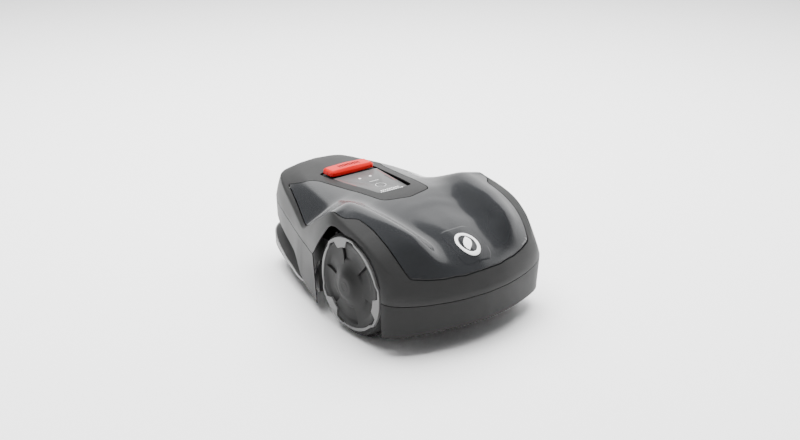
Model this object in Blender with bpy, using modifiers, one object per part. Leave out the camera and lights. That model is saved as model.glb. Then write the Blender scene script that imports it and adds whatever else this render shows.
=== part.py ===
"""Robotic lawn mower: two driven wheels at the rear, two casters under the nose,
a floating cover over a sealed chassis, and a cutting disc with three pivoting blades.

Lengths are metres. Everything is placed in the axle frame: x to the right, y from the
drive axle towards the nose, z up from the ground. One empty carries that frame, so
that the middle of the machine's footprint lands on the world origin.
"""
import math

import bmesh
import bpy
from mathutils import Matrix, Vector
from mathutils.bvhtree import BVHTree

# Driving dimensions
REAR_Y = -0.187            # rear face of the bumper, measured from the axle
NOSE_Y = 0.445             # front face of the nose, measured from the axle
AXLE_Y = -(REAR_Y + NOSE_Y) / 2
GAP = 0.0004               # play between neighbours that would touch
WALL = 0.0026              # moulded wall of the covers

TYRE_R = 0.110
TYRE_OUT_X = 0.1990        # outer side of the tyre
TYRE_W = 0.040
SHOULDER_R = 0.1060        # tyre between and beside the tread blocks
RING_R = 0.0985            # light ring on the wheel's face
HUB_FACE_X = 0.2160        # outermost point of the hub cap
ARCH_R = 0.1050            # wheel arch, measured round the axle, outboard of the tyre

TREAD_BLOCKS = 24
SHAFT_R = 0.0078           # the wheels' shafts

CASTER_X = 0.070           # swivel axis of each caster
CASTER_Y = 0.310
CASTER_TRAIL = 0.018       # the roller's axle behind the swivel axis
CASTER_R = 0.031
CASTER_W = 0.019
STEM_R = 0.0052            # the casters' swivel stems

DISC_Y = 0.128             # cutting disc's axis
DISC_R = 0.095
DISC_Z = 0.0410            # underside of the disc at the lowest cutting height
BLADE_COUNT = 3
BLADE_PIVOT_R = 0.080
BLADE_FIRST = 96           # bearing of the first blade, in degrees

FLOOR_Z = 0.036            # underside of the chassis
RIM_Z = 0.140              # joint between lower and upper chassis
LID_TOP_Z = 0.168
SHEET = 0.003              # wall of the chassis mouldings
RECESS_R = 0.118           # recess the disc turns in
RECESS_TOP_Z = 0.086
POCKET_R = 0.0525          # pockets the casters swing in
POCKET_TOP_Z = 0.0810
DIAL_Y = 0.270             # cutting height dial's axis
BATTERY_Y = -0.085
BOARD_Y = 0.345
BOARD_POSTS = [(x, BOARD_Y + dy) for x in (-0.012, 0.012) for dy in (-0.028, 0.028)]
CHASSIS_SCREWS = [(-0.118, 0.222), (0.118, 0.222), (-0.110, -0.130), (0.110, -0.130)]
POSTS = [("rear_post_left", -0.095, -0.075), ("rear_post_right", 0.095, -0.075),
         ("front_post_left", -0.045, 0.350), ("front_post_right", 0.045, 0.350)]

PANEL_Z = 0.2285           # face of the keypad panel
BUTTON_Y = 0.163
STOP_Z = 0.2440            # top of the stop bar
STEM_X = 0.035             # the stop bar's two stems
STEM_Y = 0.281
BADGE_Y = -0.117
BADGE_R = 0.0225
BADGE_T = 0.0012
UPRIGHT = Vector((0, 0, 0.002))      # the cover's walls stand upright for this far at a seam

# The cover's lines for the right half, from the middle of the rear to the middle of
# the nose. Each row crosses the cover: seam, flare, crease, shoulder, valley, centre.
COVER_ROWS = [
    ((0, -.187, .107), (0, -.179, .128), (0, -.168, .148),
     (0, -.155, .160), (0, -.142, .172), (0, -.128, .182)),
    ((.060, -.181, .107), (.057, -.174, .128), (.054, -.164, .148),
     (.046, -.149, .162), (.034, -.130, .178), (0, -.104, .1905)),
    ((.112, -.168, .107), (.108, -.162, .128), (.102, -.152, .149),
     (.084, -.136, .176), (.054, -.106, .187), (0, -.074, .201)),
    ((.158, -.150, .108), (.154, -.146, .128), (.145, -.138, .151),
     (.104, -.120, .204), (.068, -.080, .195), (0, -.044, .2095)),
    ((.189, -.132, .110), (.186, -.128, .133), (.173, -.121, .158),
     (.114, -.103, .223), (.078, -.055, .2015), (0, -.016, .2155)),
    ((.2045, -.114, .1125), (.199, -.104, .150), (.189, -.100, .175),
     (.1195, -.085, .2315), (.084, -.032, .2085), (0, .008, .2205)),
    ((.2065, -.085, .114), (.2045, -.078, .176), (.1955, -.078, .194),
     (.125, -.060, .2375), (.088, -.012, .214), (0, .028, .2255)),
    ((.208, -.045, .116), (.207, -.042, .195), (.1995, -.042, .2152),
     (.131, -.025, .2435), (.092, .010, .2195), (0, .045, .2285)),
    ((.2082, 0, .118), (.2078, 0, .206), (.200, 0, .2285),
     (.137, .015, .2475), (.096, .035, .2255), (0, .060, .231)),
    ((.208, .045, .121), (.2075, .045, .214), (.197, .045, .2385),
     (.1425, .055, .2505), (.102, .065, .2305), (0, .080, .2335)),
    ((.2075, .075, .1235), (.2065, .075, .208), (.1955, .069, .2415),
     (.1435, .080, .2495), (.106, .090, .2305), (0, .100, .2345)),
    ((.2035, .110, .126), (.203, .110, .187), (.193, .108, .2185),
     (.1415, .108, .238), (.108, .118, .229), (0, .125, .2350)),
    ((.193, .150, .130), (.193, .150, .166), (.188, .150, .191),
     (.1415, .133, .2255), (.107, .140, .228), (0, .148, .2350)),
    ((.181, .195, .134), (.1815, .195, .149), (.180, .195, .1625),
     (.142, .157, .2135), (.104, .165, .2265), (0, .170, .2343)),
    ((.1705, .232, .1372), (.170, .232, .153), (.167, .232, .168),
     (.1295, .212, .2170), (.095, .218, .2258), (0, .222, .2325)),
    ((.1587, .270, .1407), (.157, .270, .160), (.1547, .270, .179),
     (.1139, .270, .2208), (.084, .272, .2260), (0, .275, .2308)),
    ((.1400, .330, .1462), (.138, .330, .168), (.1345, .330, .1935),
     (.091, .330, .2225), (.068, .332, .2262), (0, .335, .2302)),
    ((.1192, .390, .1516), (.1163, .389, .177), (.1108, .387, .2055),
     (.070, .382, .2228), (.051, .387, .2256), (0, .390, .2270)),
    ((.0945, .431, .155), (.0925, .4245, .182), (.088, .414, .2105),
     (.058, .404, .2222), (.041, .405, .2238), (0, .405, .2250)),
    ((.051, .443, .156), (.050, .437, .183), (.046, .4255, .2122),
     (.031, .414, .2210), (.023, .410, .2230), (0, .410, .2242)),
    ((0, .445, .156), (0, .439, .183), (0, .4275, .2128),
     (0, .419, .2198), (0, .4145, .2222), (0, .4125, .2235)),
]

# Plan outlines for the right half, clockwise from the rear centre line
HOOD_OUTLINE = [(0, -.1675), (.045, -.1655), (.090, -.1555), (.125, -.1440), (.150, -.1330), (.1560, -.1285),
                (.1620, -.112), (.1660, -.092), (.1680, -.060), (.1680, -.030), (.1700, .012), (.1895, .033),
                (.1925, .066), (.1905, .105), (.1865, .140), (.1770, .184), (.1160, .346), (.1035, .299)]
CONSOLE_FRAME = [(.0915, .284), (.085, .266), (.0763, .188), (.0645, .088), (.0600, .0765), (.050, .0715),
                 (0, .0615)]
RECESS = [(0, .1085), (.0400, .1110), (.0445, .1160), (.0635, .2600), (.0635, .2990), (.0600, .3040),
          (0, .3065)]
PANEL = [(0, .1135), (.0375, .1155), (.0410, .1190), (.0590, .2560), (0, .2575)]
ISLAND = [(0, .1135), (.0375, .1155), (.0410, .1190), (.0590, .2560), (.0590, .2955), (.0545, .2995),
          (0, .3025)]
STOP_BAR = [(0, .2595), (.0530, .2610), (.0575, .2650), (.0575, .2965), (.0535, .3000), (0, .3020)]

# Lower edges of the skirts: place along the cover's rows, then the edge point
BUMPER_EDGE = [(0, (0, -.1845, .0485)), (1, (.060, -.1785, .0485)), (2, (.112, -.1655, .0470)),
               (3, (.158, -.1475, .0440)), (4, (.187, -.129, .0400)), (5, (.2005, -.112, .0390)),
               (6, (.207, -.086, .0420))]
NOSE_EDGE = [(11, (.2045, .112, .022)), (11.5, (.1985, .130, .030)), (12, (.193, .155, .035)),
             (12.6, (.187, .180, .039)), (13.1, (.1820, .200, .0460)), (13.35, (.179, .214, .054)),
             (13.6, (.1755, .226, .066)), (13.9, (.172, .238, .079)), (14.3, (.167, .252, .0865)),
             (15, (.159, .275, .0915)), (16, (.1415, .330, .1005)), (17, (.1195, .389, .1105)),
             (18, (.094, .4275, .113)), (19, (.050, .4385, .1135)), (20, (0, .4405, .1135))]
CHIN_Z = 0.070             # crease round the bumper

# Lower chassis for the right half: lip x, lip y, lip underside z, lip top z, wall x, wall y
TUB_ROWS = [(0, -.164, .040, .044, 0, -.158), (.060, -.160, .040, .044, .060, -.154),
            (.110, -.148, .040, .044, .110, -.142), (.148, -.129, .040, .044, .147, -.128),
            (.150, -.060, .040, .044, .150, -.060), (.150, .060, .040, .044, .150, .060),
            (.150, .1285, .040, .044, .150, .1285), (.1815, .138, .038, .108, .153, .142),
            (.1715, .175, .037, .060, .154, .175), (.179, .206, .037, .0405, .152, .206),
            (.175, .232, .039, .044, .147, .232), (.165, .270, .042, .049, .138, .268),
            (.158, .300, .044, .053, .130, .298), (.149, .330, .046, .058, .121, .326),
            (.140, .360, .049, .065, .111, .354), (.1285, .390, .053, .073, .099, .380),
            (.112, .414, .056, .080, .084, .398), (.085, .430, .058, .085, .062, .408),
            (.045, .4375, .059, .088, .032, .413), (0, .4395, .060, .088, 0, .415)]

COLLECTION = "robotic_lawn_mower"
SIDES = ((-1, "left"), (1, "right"))


# Scene helpers -----------------------------------------------------------------------
def clear_scene():
    for obj in list(bpy.data.objects):
        bpy.data.objects.remove(obj, do_unlink=True)


def make_collection(name):
    collection = bpy.data.collections.new(name)
    bpy.context.scene.collection.children.link(collection)
    return collection


def material(name, colour, roughness, metallic=0.0):
    mat = bpy.data.materials.new(name)
    mat.use_nodes = True
    shader = mat.node_tree.nodes["Principled BSDF"]
    shader.inputs["Base Color"].default_value = (*colour, 1.0)
    shader.inputs["Roughness"].default_value = roughness
    shader.inputs["Metallic"].default_value = metallic
    mat.diffuse_color = (*colour, 1.0)
    return mat


def face_outwards(bm):
    """Point a skin's or a solid's faces away from the middle of the machine or of itself."""
    bmesh.ops.recalc_face_normals(bm, faces=bm.faces)
    if any(edge.is_boundary for edge in bm.edges):
        middle = Vector((0, 0.13, 0.05))
        outward = sum(f.normal.dot(f.calc_center_median() - middle) * f.calc_area() for f in bm.faces)
        if outward < 0:
            bmesh.ops.reverse_faces(bm, faces=bm.faces)


def add_mesh(name, bm, look=None, location=(0, 0, 0), collection=None):
    """Turn a bmesh into a named object under the axle frame's empty."""
    face_outwards(bm)
    mesh = bpy.data.meshes.new(name)
    bm.to_mesh(mesh)
    bm.free()
    obj = bpy.data.objects.new(name, mesh)
    (collection or PARTS).objects.link(obj)
    obj.parent = AXLE_FRAME
    obj.location = location
    if look:
        mesh.materials.append(material(name, *look))
    return obj


def as_cutter(obj):
    obj.hide_render = True
    obj.display_type = "WIRE"
    return obj


def bevel(obj, width, segments=1, angle=40):
    mod = obj.modifiers.new("bevel", "BEVEL")
    mod.width = width
    mod.segments = segments
    mod.limit_method = "ANGLE"
    mod.angle_limit = math.radians(angle)
    return obj


def boolean(obj, cutter, operation="DIFFERENCE"):
    mod = obj.modifiers.new(operation.lower(), "BOOLEAN")
    mod.operation = operation
    mod.object = cutter
    mod.solver = "EXACT"
    return obj


def solidify(obj, thickness, offset=-1.0):
    mod = obj.modifiers.new("wall", "SOLIDIFY")
    mod.thickness = thickness
    mod.offset = offset
    mod.use_even_offset = True
    return obj


def mirror_x(obj):
    mod = obj.modifiers.new("mirror", "MIRROR")
    mod.use_axis = (True, False, False)
    mod.merge_threshold = 0.00005
    return obj


def box(name, size, centre, look=None, edge=0.0, collection=None):
    bm = bmesh.new()
    bmesh.ops.create_cube(bm, size=1.0)
    bmesh.ops.scale(bm, vec=size, verts=bm.verts)
    obj = add_mesh(name, bm, look, centre, collection)
    if edge:
        bevel(obj, edge)
    return obj


def cylinder(name, radius, depth, centre, look=None, axis="Z", sides=32, collection=None):
    bm = bmesh.new()
    bmesh.ops.create_cone(bm, cap_ends=True, segments=sides, radius1=radius, radius2=radius, depth=depth)
    if axis == "X":
        bmesh.ops.rotate(bm, verts=bm.verts, matrix=Matrix.Rotation(math.pi / 2, 3, "Y"))
    return add_mesh(name, bm, look, centre, collection)


def turned(name, profile, centre, look, axis="Z", side=1, sides=32, collection=None):
    """Turn a closed (radius, height) profile into a solid of revolution.

    With axis X the height runs outwards, to the side given by side.
    """
    bm = bmesh.new()
    rings = []
    for k in range(sides):
        turn = 2 * math.pi * k / sides
        ring = []
        for radius, height in profile:
            a = radius * math.cos(turn)
            b = radius * math.sin(turn)
            ring.append(bm.verts.new((a, b, height) if axis == "Z" else (side * height, a, b)))
        rings.append(ring)
    count = len(profile)
    for k in range(sides):
        here = rings[k]
        there = rings[(k + 1) % sides]
        for i in range(count):
            j = (i + 1) % count
            if profile[i][0] or profile[j][0]:
                bm.faces.new((here[i], here[j], there[j], there[i]))
    bmesh.ops.remove_doubles(bm, verts=bm.verts, dist=1e-6)
    return add_mesh(name, bm, look, centre, collection)


def prism(name, outline, z0, z1, look=None, centre=(0, 0, 0), collection=None):
    """Extrude a closed plan outline from z0 to z1."""
    bm = bmesh.new()
    base = bm.faces.new([bm.verts.new((x, y, z0)) for x, y in outline])
    top = bmesh.ops.extrude_face_region(bm, geom=[base])
    moved = [v for v in top["geom"] if isinstance(v, bmesh.types.BMVert)]
    bmesh.ops.translate(bm, verts=moved, vec=(0, 0, z1 - z0))
    return add_mesh(name, bm, look, centre, collection)


def both_sides(half):
    """Close a half outline, given from one centre-line point to another, by mirroring."""
    return half + [(-x, y) for x, y in reversed(half) if x > 1e-9]


def grown(outline, amount):
    """Offset a closed outline outwards by amount (inwards when negative)."""
    area = sum(a[0] * b[1] - b[0] * a[1] for a, b in zip(outline, outline[1:] + outline[:1]))
    turn = 1 if area > 0 else -1
    result = []
    for k, here in enumerate(outline):
        before = Vector(outline[k - 1])
        after = Vector(outline[(k + 1) % len(outline)])
        e1 = (Vector(here) - before).normalized()
        e2 = (after - Vector(here)).normalized()
        n1 = Vector((e1.y, -e1.x)) * turn
        n2 = Vector((e2.y, -e2.x)) * turn
        mitre = (n1 + n2).normalized()
        result.append(tuple(Vector(here) + mitre * (amount / max(0.5, mitre.dot(n1)))))
    return result


# Cover surface -----------------------------------------------------------------------
def catmull(points, t):
    """Point on a Catmull-Rom curve through points, t from 0 to len(points) - 1."""
    k = min(int(t), len(points) - 2)
    u = t - k
    p1 = Vector(points[k])
    p2 = Vector(points[k + 1])
    p0 = Vector(points[k - 1]) if k else 2 * p1 - p2
    p3 = Vector(points[k + 2]) if k + 2 < len(points) else 2 * p2 - p1
    return 0.5 * (2 * p1 + (p2 - p0) * u + (2 * p0 - 5 * p1 + 4 * p2 - p3) * u * u
                  + (3 * p1 - p0 - 3 * p2 + p3) * u ** 3)


def cover_section(t):
    """One row across the cover, from the seam up to the centre line."""
    guides = [catmull([row[g] for row in COVER_ROWS], t) for g in range(6)]
    seam, flare, crease, shoulder, valley, centre = guides
    points = [seam, seam + UPRIGHT, flare, crease.lerp(flare, 0.08), crease.lerp(shoulder, 0.08)]
    points += [shoulder.lerp(crease, 0.15), shoulder.lerp(valley, 0.18)]
    points += [valley.lerp(shoulder, 0.20), valley.lerp(centre, 0.25), centre]
    return points


def cover_skin(name, collection):
    """The whole upper cover as one open skin, before its openings and seams are cut."""
    bm = bmesh.new()
    rows = []
    last = len(COVER_ROWS) - 1
    for k in range(len(COVER_ROWS)):
        row = cover_section(k)
        if k in (0, last):
            row = [Vector((0, p.y, p.z)) for p in row]
        row[-1].x = 0
        rows.append([bm.verts.new(p) for p in row])
    for a, b in zip(rows, rows[1:]):
        for i in range(len(a) - 1):
            bm.faces.new((a[i], a[i + 1], b[i + 1], b[i]))
    obj = add_mesh(name, bm, None, collection=collection)
    mirror_x(obj)
    return obj


def skin_height(skin, x, y):
    """Height of the cover's outer surface above a plan point."""
    hit = skin.ray_cast(Vector((x, y, 1.0)), Vector((0, 0, -1)))
    return hit[0].z


# Floating cover ----------------------------------------------------------------------
def wheel_arch_cutter(side):
    """Prism along x: a circle round the axle, opened towards the nose."""
    outline = []
    for k in range(13):
        turn = math.radians(183 - k * 8)
        outline.append((ARCH_R * math.cos(turn), TYRE_R + ARCH_R * math.sin(turn)))
    outline += [(.028, .2190), (.042, .2215), (.055, .2195), (.066, .2125), (.128, .1390), (.1385, .1290),
                (.118, .020), (.118, .001), (-.103, .001), (-.104, .060)]
    start, end = sorted((side * 0.151, side * 0.260))
    bm = bmesh.new()
    face = bm.faces.new([bm.verts.new((start, y, z)) for y, z in outline])
    extruded = bmesh.ops.extrude_face_region(bm, geom=[face])
    moved = [v for v in extruded["geom"] if isinstance(v, bmesh.types.BMVert)]
    bmesh.ops.translate(bm, verts=moved, vec=(end - start, 0, 0))
    name = "arch_cutter_left" if side < 0 else "arch_cutter_right"
    return as_cutter(add_mesh(name, bm, collection=CUTTERS))


def hood_plan():
    """The hood's closed plan: a U round the console frame."""
    return both_sides(HOOD_OUTLINE + CONSOLE_FRAME)


def make_cover(arches):
    shell = cover_skin("body_shell", PARTS)
    shell.data.materials.append(material("body_shell", (0.085, 0.088, 0.09), 0.55))
    solidify(shell, WALL)
    hood_cut = as_cutter(prism("hood_cutter", grown(hood_plan(), GAP), 0.10, 0.30, collection=CUTTERS))
    recess_cut = as_cutter(prism("recess_cutter", both_sides(RECESS), 0.20, 0.30, collection=CUTTERS))
    for cutter in arches + [hood_cut, recess_cut]:
        boolean(shell, cutter)
    hood = cover_skin("hood", PARTS)
    hood.data.materials.append(material("hood", (0.055, 0.06, 0.065), 0.12))
    solidify(hood, WALL)
    hood_keep = as_cutter(prism("hood_keep", hood_plan(), 0.10, 0.30, collection=CUTTERS))
    boolean(hood, hood_keep, "INTERSECT")


def skirt(name, edge, look, arches, chin=None):
    """A skirt hanging from the cover's seam down to its own lower edge."""
    seam_line = [row[0] for row in COVER_ROWS]
    bm = bmesh.new()
    rows = []
    for place, low in edge:
        top = catmull(seam_line, place) - Vector((0, 0, GAP))
        low = Vector(low)
        column = [top, top - UPRIGHT, low]
        if chin:
            column.insert(2, top.lerp(low, (top.z - chin) / (top.z - low.z)))
        rows.append([bm.verts.new(p) for p in column])
    for a, b in zip(rows, rows[1:]):
        for i in range(len(a) - 1):
            bm.faces.new((a[i], a[i + 1], b[i + 1], b[i]))
    obj = add_mesh(name, bm, look)
    mirror_x(obj)
    solidify(obj, WALL)
    for cutter in arches:
        boolean(obj, cutter)
    return obj


def make_badge(surface):
    """Flat oval badge, lying along the slope of the hood."""
    bm = bmesh.new()
    bmesh.ops.create_cone(bm, cap_ends=True, segments=28, radius1=BADGE_R, radius2=BADGE_R,
                          depth=BADGE_T)
    bmesh.ops.scale(bm, vec=(0.95, 1.2, 1), verts=bm.verts)
    step = 0.010
    here = skin_height(surface, 0, BADGE_Y)
    slope = (skin_height(surface, 0, BADGE_Y + step) - here) / step
    swell = 0.0
    for k in range(24):
        turn = math.tau * k / 24
        y = 1.2 * BADGE_R * math.sin(turn)
        height = skin_height(surface, 0.95 * BADGE_R * math.cos(turn), BADGE_Y + y)
        swell = max(swell, height - here - slope * y)
    badge = add_mesh("badge", bm, ((0.85, 0.85, 0.85), 0.35), (0, BADGE_Y, here + swell + 0.0018))
    badge.rotation_euler.x = math.atan(slope)


# Chassis -----------------------------------------------------------------------------
def stack(name, layers, look=None, collection=None):
    """Closed solid through outlines of equal length, each a list of (x, y, z)."""
    bm = bmesh.new()
    rings = [[bm.verts.new(p) for p in layer] for layer in layers]
    count = len(rings[0])
    for low, high in zip(rings, rings[1:]):
        for i in range(count):
            j = (i + 1) % count
            bm.faces.new((low[i], low[j], high[j], high[i]))
    bm.faces.new(rings[0])
    bm.faces.new(rings[-1])
    bmesh.ops.triangulate(bm, faces=[f for f in bm.faces if len(f.verts) > 4])
    return add_mesh(name, bm, look, collection=collection)


def level(outline, z):
    return [(x, y, z) for x, y in outline]


def wall_outline(inset=0.0):
    """Plan of the chassis wall, moved inwards by inset."""
    return grown(both_sides([(row[4], row[5]) for row in TUB_ROWS]), -inset)


def lip_ring(z_index, inset=0.0):
    """The chassis lip as a ring that follows its own height."""
    half = [(row[0], row[1]) for row in TUB_ROWS]
    heights = [row[z_index] for row in TUB_ROWS]
    heights += [z for z, (x, y) in reversed(list(zip(heights, half))) if x > 1e-9]
    return [(x, y, z) for (x, y), z in zip(grown(both_sides(half), -inset), heights)]


def make_lower_chassis():
    look = ((0.30, 0.31, 0.31), 0.5)
    tub = stack("lower_chassis", [level([p[:2] for p in lip_ring(2, 0.008)], FLOOR_Z), lip_ring(2),
                                  lip_ring(3, 0.0006), level(wall_outline(), 0.096),
                                  level(wall_outline(), RIM_Z)], look)
    cavity = stack("tub_cavity", [level(wall_outline(SHEET), FLOOR_Z + SHEET),
                                  level(wall_outline(SHEET), RIM_Z + 0.01)], collection=CUTTERS)
    boolean(tub, as_cutter(cavity))
    cups = [("recess_cup", RECESS_R + SHEET, RECESS_TOP_Z + SHEET, 0, DISC_Y, 36)]
    voids = [("recess_void", RECESS_R, RECESS_TOP_Z, 0, DISC_Y, 36)]
    for side, tag in SIDES:
        x = side * CASTER_X
        cups.append(("pocket_cup_" + tag, POCKET_R + 0.0025, POCKET_TOP_Z + SHEET, x, CASTER_Y, 20))
        voids.append(("pocket_void_" + tag, POCKET_R, POCKET_TOP_Z, x, CASTER_Y, 20))
    for name, radius, top, x, y, sides in cups:
        low = FLOOR_Z + 0.001
        cup = cylinder(name, radius, top - low, (x, y, (top + low) / 2), sides=sides, collection=CUTTERS)
        boolean(tub, as_cutter(cup), "UNION")
    for x, y in BOARD_POSTS:
        post = cylinder("board_post", 0.004, 0.066, (x, y, 0.0705), sides=10, collection=CUTTERS)
        boolean(tub, as_cutter(post), "UNION")
    for name, radius, top, x, y, sides in voids:
        void = cylinder(name, radius, top + 0.01, (x, y, (top - 0.01) / 2), sides=sides, collection=CUTTERS)
        boolean(tub, as_cutter(void))
    holes = [cylinder("motor_hole", 0.048, 0.03, (0, DISC_Y, 0.088), sides=32, collection=CUTTERS),
             cylinder("dial_hole", 0.0175, 0.03, (0, DIAL_Y, 0.035), sides=20, collection=CUTTERS),
             box("battery_opening", (0.1308, 0.1008, 0.03), (0, BATTERY_Y, 0.035), collection=CUTTERS)]
    for side in (-1, 1):
        holes.append(cylinder("stem_hole", STEM_R + 0.0006, 0.03, (side * CASTER_X, CASTER_Y, 0.083),
                              sides=16, collection=CUTTERS))
        holes.append(cylinder("shaft_hole", SHAFT_R + 0.0017, 0.02, (side * 0.150, 0, TYRE_R), axis="X",
                              sides=20, collection=CUTTERS))
    for x, y in CHASSIS_SCREWS:
        holes.append(cylinder("screw_hole", 0.0042, 0.02, (x, y, 0.036), sides=12, collection=CUTTERS))
    for cutter in holes:
        boolean(tub, as_cutter(cutter))


def make_upper_chassis():
    look = ((0.055, 0.057, 0.06), 0.6)
    low = RIM_Z + 0.003
    lid = stack("upper_chassis", [level(wall_outline(), low), level(wall_outline(), low + 0.004),
                                  level(wall_outline(0.041), LID_TOP_Z)], look)
    hollow = stack("lid_cavity", [level(wall_outline(SHEET), low - 0.01),
                                  level(wall_outline(SHEET), low + 0.003),
                                  level(wall_outline(0.043), LID_TOP_Z - SHEET)], collection=CUTTERS)
    boolean(lid, as_cutter(hollow))
    seal = prism("chassis_seal", wall_outline(0.0006), RIM_Z + GAP, low - GAP, ((0.02, 0.02, 0.02), 0.8))
    inner = prism("seal_inner", wall_outline(0.0026), RIM_Z - 0.01, low + 0.01, collection=CUTTERS)
    boolean(seal, as_cutter(inner))


def make_inner_parts():
    """What the sealed chassis holds, and the screws that close it."""
    plated = ((0.6, 0.6, 0.6), 0.3, 1.0)
    motor_look = ((0.25, 0.25, 0.26), 0.4, 0.6)
    contact_look = ((0.75, 0.62, 0.35), 0.3, 1.0)
    box("battery_pack", (0.120, 0.090, 0.048), (0, BATTERY_Y, 0.0650), ((0.05, 0.09, 0.16), 0.45), 0.004)
    lid = box("battery_cover", (0.130, 0.100, 0.0030), (0, BATTERY_Y, FLOOR_Z + 0.0016),
              ((0.05, 0.05, 0.052), 0.6))
    for k, x in enumerate((-0.055, 0.055)):
        hole = cylinder("cover_screw_hole", 0.0036, 0.02, (x, BATTERY_Y, FLOOR_Z), sides=12,
                        collection=CUTTERS)
        boolean(lid, as_cutter(hole))
        cylinder(f"battery_cover_screw_{k + 1}", 0.0032, 0.0040, (x, BATTERY_Y, FLOOR_Z + 0.0026), plated,
                 sides=12)
    for k, (x, y) in enumerate(CHASSIS_SCREWS):
        cylinder(f"chassis_screw_{k + 1}", 0.0038, 0.0080, (x, y, FLOOR_Z + 0.0045), plated, sides=12)
    box("main_board", (0.112, 0.070, 0.0016), (0, BOARD_Y, 0.1046), ((0.03, 0.16, 0.07), 0.5))
    for side, tag in SIDES:
        box("gearmotor_" + tag, (0.070, 0.052, 0.052), (side * 0.1110, 0, 0.1060), motor_look, 0.006)
        box("charging_contact_" + tag, (0.018, 0.0016, 0.026), (side * 0.016, 0.4162, 0.1180), contact_look,
            0.0006)


def make_console():
    """Fixed island in the cover's opening: housing, keypad panel, buttons and stop switch."""
    housing = prism("console_housing", both_sides(ISLAND), LID_TOP_Z + GAP, PANEL_Z - 0.0023,
                    ((0.03, 0.03, 0.032), 0.6))
    inner = prism("housing_cavity", grown(both_sides(ISLAND), -0.003), LID_TOP_Z - 0.01, PANEL_Z - 0.0053,
                  collection=CUTTERS)
    boolean(housing, as_cutter(inner))
    panel = prism("keypad_panel", both_sides(PANEL), PANEL_Z - 0.0020, PANEL_Z, ((0.30, 0.31, 0.31), 0.15))
    hole = cylinder("button_hole", 0.0095, 0.02, (0, BUTTON_Y, PANEL_Z), sides=24, collection=CUTTERS)
    boolean(panel, as_cutter(hole))
    boolean(housing, hole)
    cylinder("start_button", 0.0090, 0.0060, (0, BUTTON_Y, PANEL_Z - 0.0028), ((0.33, 0.34, 0.34), 0.2),
             sides=24)
    bar = prism("stop_button", both_sides(STOP_BAR), STOP_Z - 0.0135, STOP_Z, ((0.72, 0.035, 0.03), 0.35))
    bevel(bar, 0.0030, 2, 50)
    for side in (-1, 1):
        stem = cylinder("stop_stem", 0.0040, 0.0200, (side * STEM_X, STEM_Y, 0.2235), sides=12,
                        collection=CUTTERS)
        boolean(bar, as_cutter(stem), "UNION")
        guide = cylinder("stem_guide", 0.0046, 0.02, (side * STEM_X, STEM_Y, 0.2240), sides=12,
                         collection=CUTTERS)
        boolean(housing, as_cutter(guide))
    box("stop_switch", (0.090, 0.014, 0.010), (0, STEM_Y, 0.2030), ((0.02, 0.02, 0.02), 0.5), 0.001)


def make_posts(surface):
    """Ribbed rubber posts that carry the floating cover."""
    for name, x, y in POSTS:
        low = LID_TOP_Z + GAP
        top = min(skin_height(surface, x + dx, y + dy) for dx in (-.009, .009) for dy in (-.009, .009))
        top -= WALL + 0.0012
        height = top - low
        profile = [(0, 0), (0.0090, 0), (0.0060, 0.005), (0.0078, height * 0.50), (0.0060, height - 0.005),
                   (0.0085, height), (0, height)]
        turned(name, profile, (x, y, low), ((0.02, 0.02, 0.02), 0.85), sides=12)


# Running gear ------------------------------------------------------------------------
def make_tyre(name, side):
    """Rubber ring whose outer band steps in and out as tread blocks."""
    outer_x = TYRE_OUT_X
    inner_x = outer_x - TYRE_W
    sides = 2 * TREAD_BLOCKS
    bm = bmesh.new()
    rings = []
    for k in range(sides):
        turn = math.pi * 2 * k / sides
        rings.append([])
        crown = TYRE_R if k % 4 < 2 else SHOULDER_R
        profile = [(0.0935, inner_x), (0.1020, inner_x), (crown, inner_x + 0.003), (crown, outer_x - 0.014),
                   (SHOULDER_R - 0.0005, outer_x - 0.011), (SHOULDER_R - 0.0010, outer_x - 0.004),
                   (0.1010, outer_x), (0.0935, outer_x)]
        for radius, x in profile:
            rings[-1].append(bm.verts.new((side * x, radius * math.cos(turn), radius * math.sin(turn))))
    for k in range(sides):
        here = rings[k]
        there = rings[(k + 1) % sides]
        for i in range(len(here)):
            j = (i + 1) % len(here)
            bm.faces.new((here[i], here[j], there[j], there[i]))
    return add_mesh(name, bm, ((0.025, 0.025, 0.026), 0.8), (0, 0, TYRE_R))


def make_wheel(side, tag):
    centre = (0, 0, TYRE_R)
    make_tyre("tyre_" + tag, side)
    turned("wheel_rim_" + tag, [(0.0082, 0.1720), (0.0200, 0.1720), (0.0300, 0.1780), (0.0860, 0.1780),
                                (0.0930, 0.1640), (0.0930, 0.1985), (0.0850, 0.1985), (0.0824, 0.1830),
                                (0.0300, 0.1830), (0.0220, 0.1900), (0.0082, 0.1900)],
           centre, ((0.07, 0.07, 0.072), 0.6), "X", side, 28)
    turned("wheel_cap_" + tag, [(0, 0.1960), (0.0400, 0.1925), (0.0818, 0.1915), (0.0818, 0.2036),
                                (0.0700, 0.2000), (0.0460, 0.2030), (0.0320, 0.2090), (0.0230, 0.2150),
                                (0.0190, HUB_FACE_X), (0, HUB_FACE_X)],
           centre, ((0.09, 0.092, 0.094), 0.5), "X", side, 28)
    turned("wheel_ring_" + tag, [(0.0823, 0.1994), (RING_R, 0.1994), (RING_R, 0.2030),
                                 (0.0965, 0.2045), (0.0823, 0.2045)],
           centre, ((0.50, 0.51, 0.51), 0.5), "X", side, 36)
    turned("wheel_shaft_" + tag, [(0, 0.1464), (SHAFT_R, 0.1464), (SHAFT_R, 0.1915), (0, 0.1915)],
           centre, ((0.55, 0.55, 0.56), 0.3, 1.0), "X", side, 16)


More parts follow.
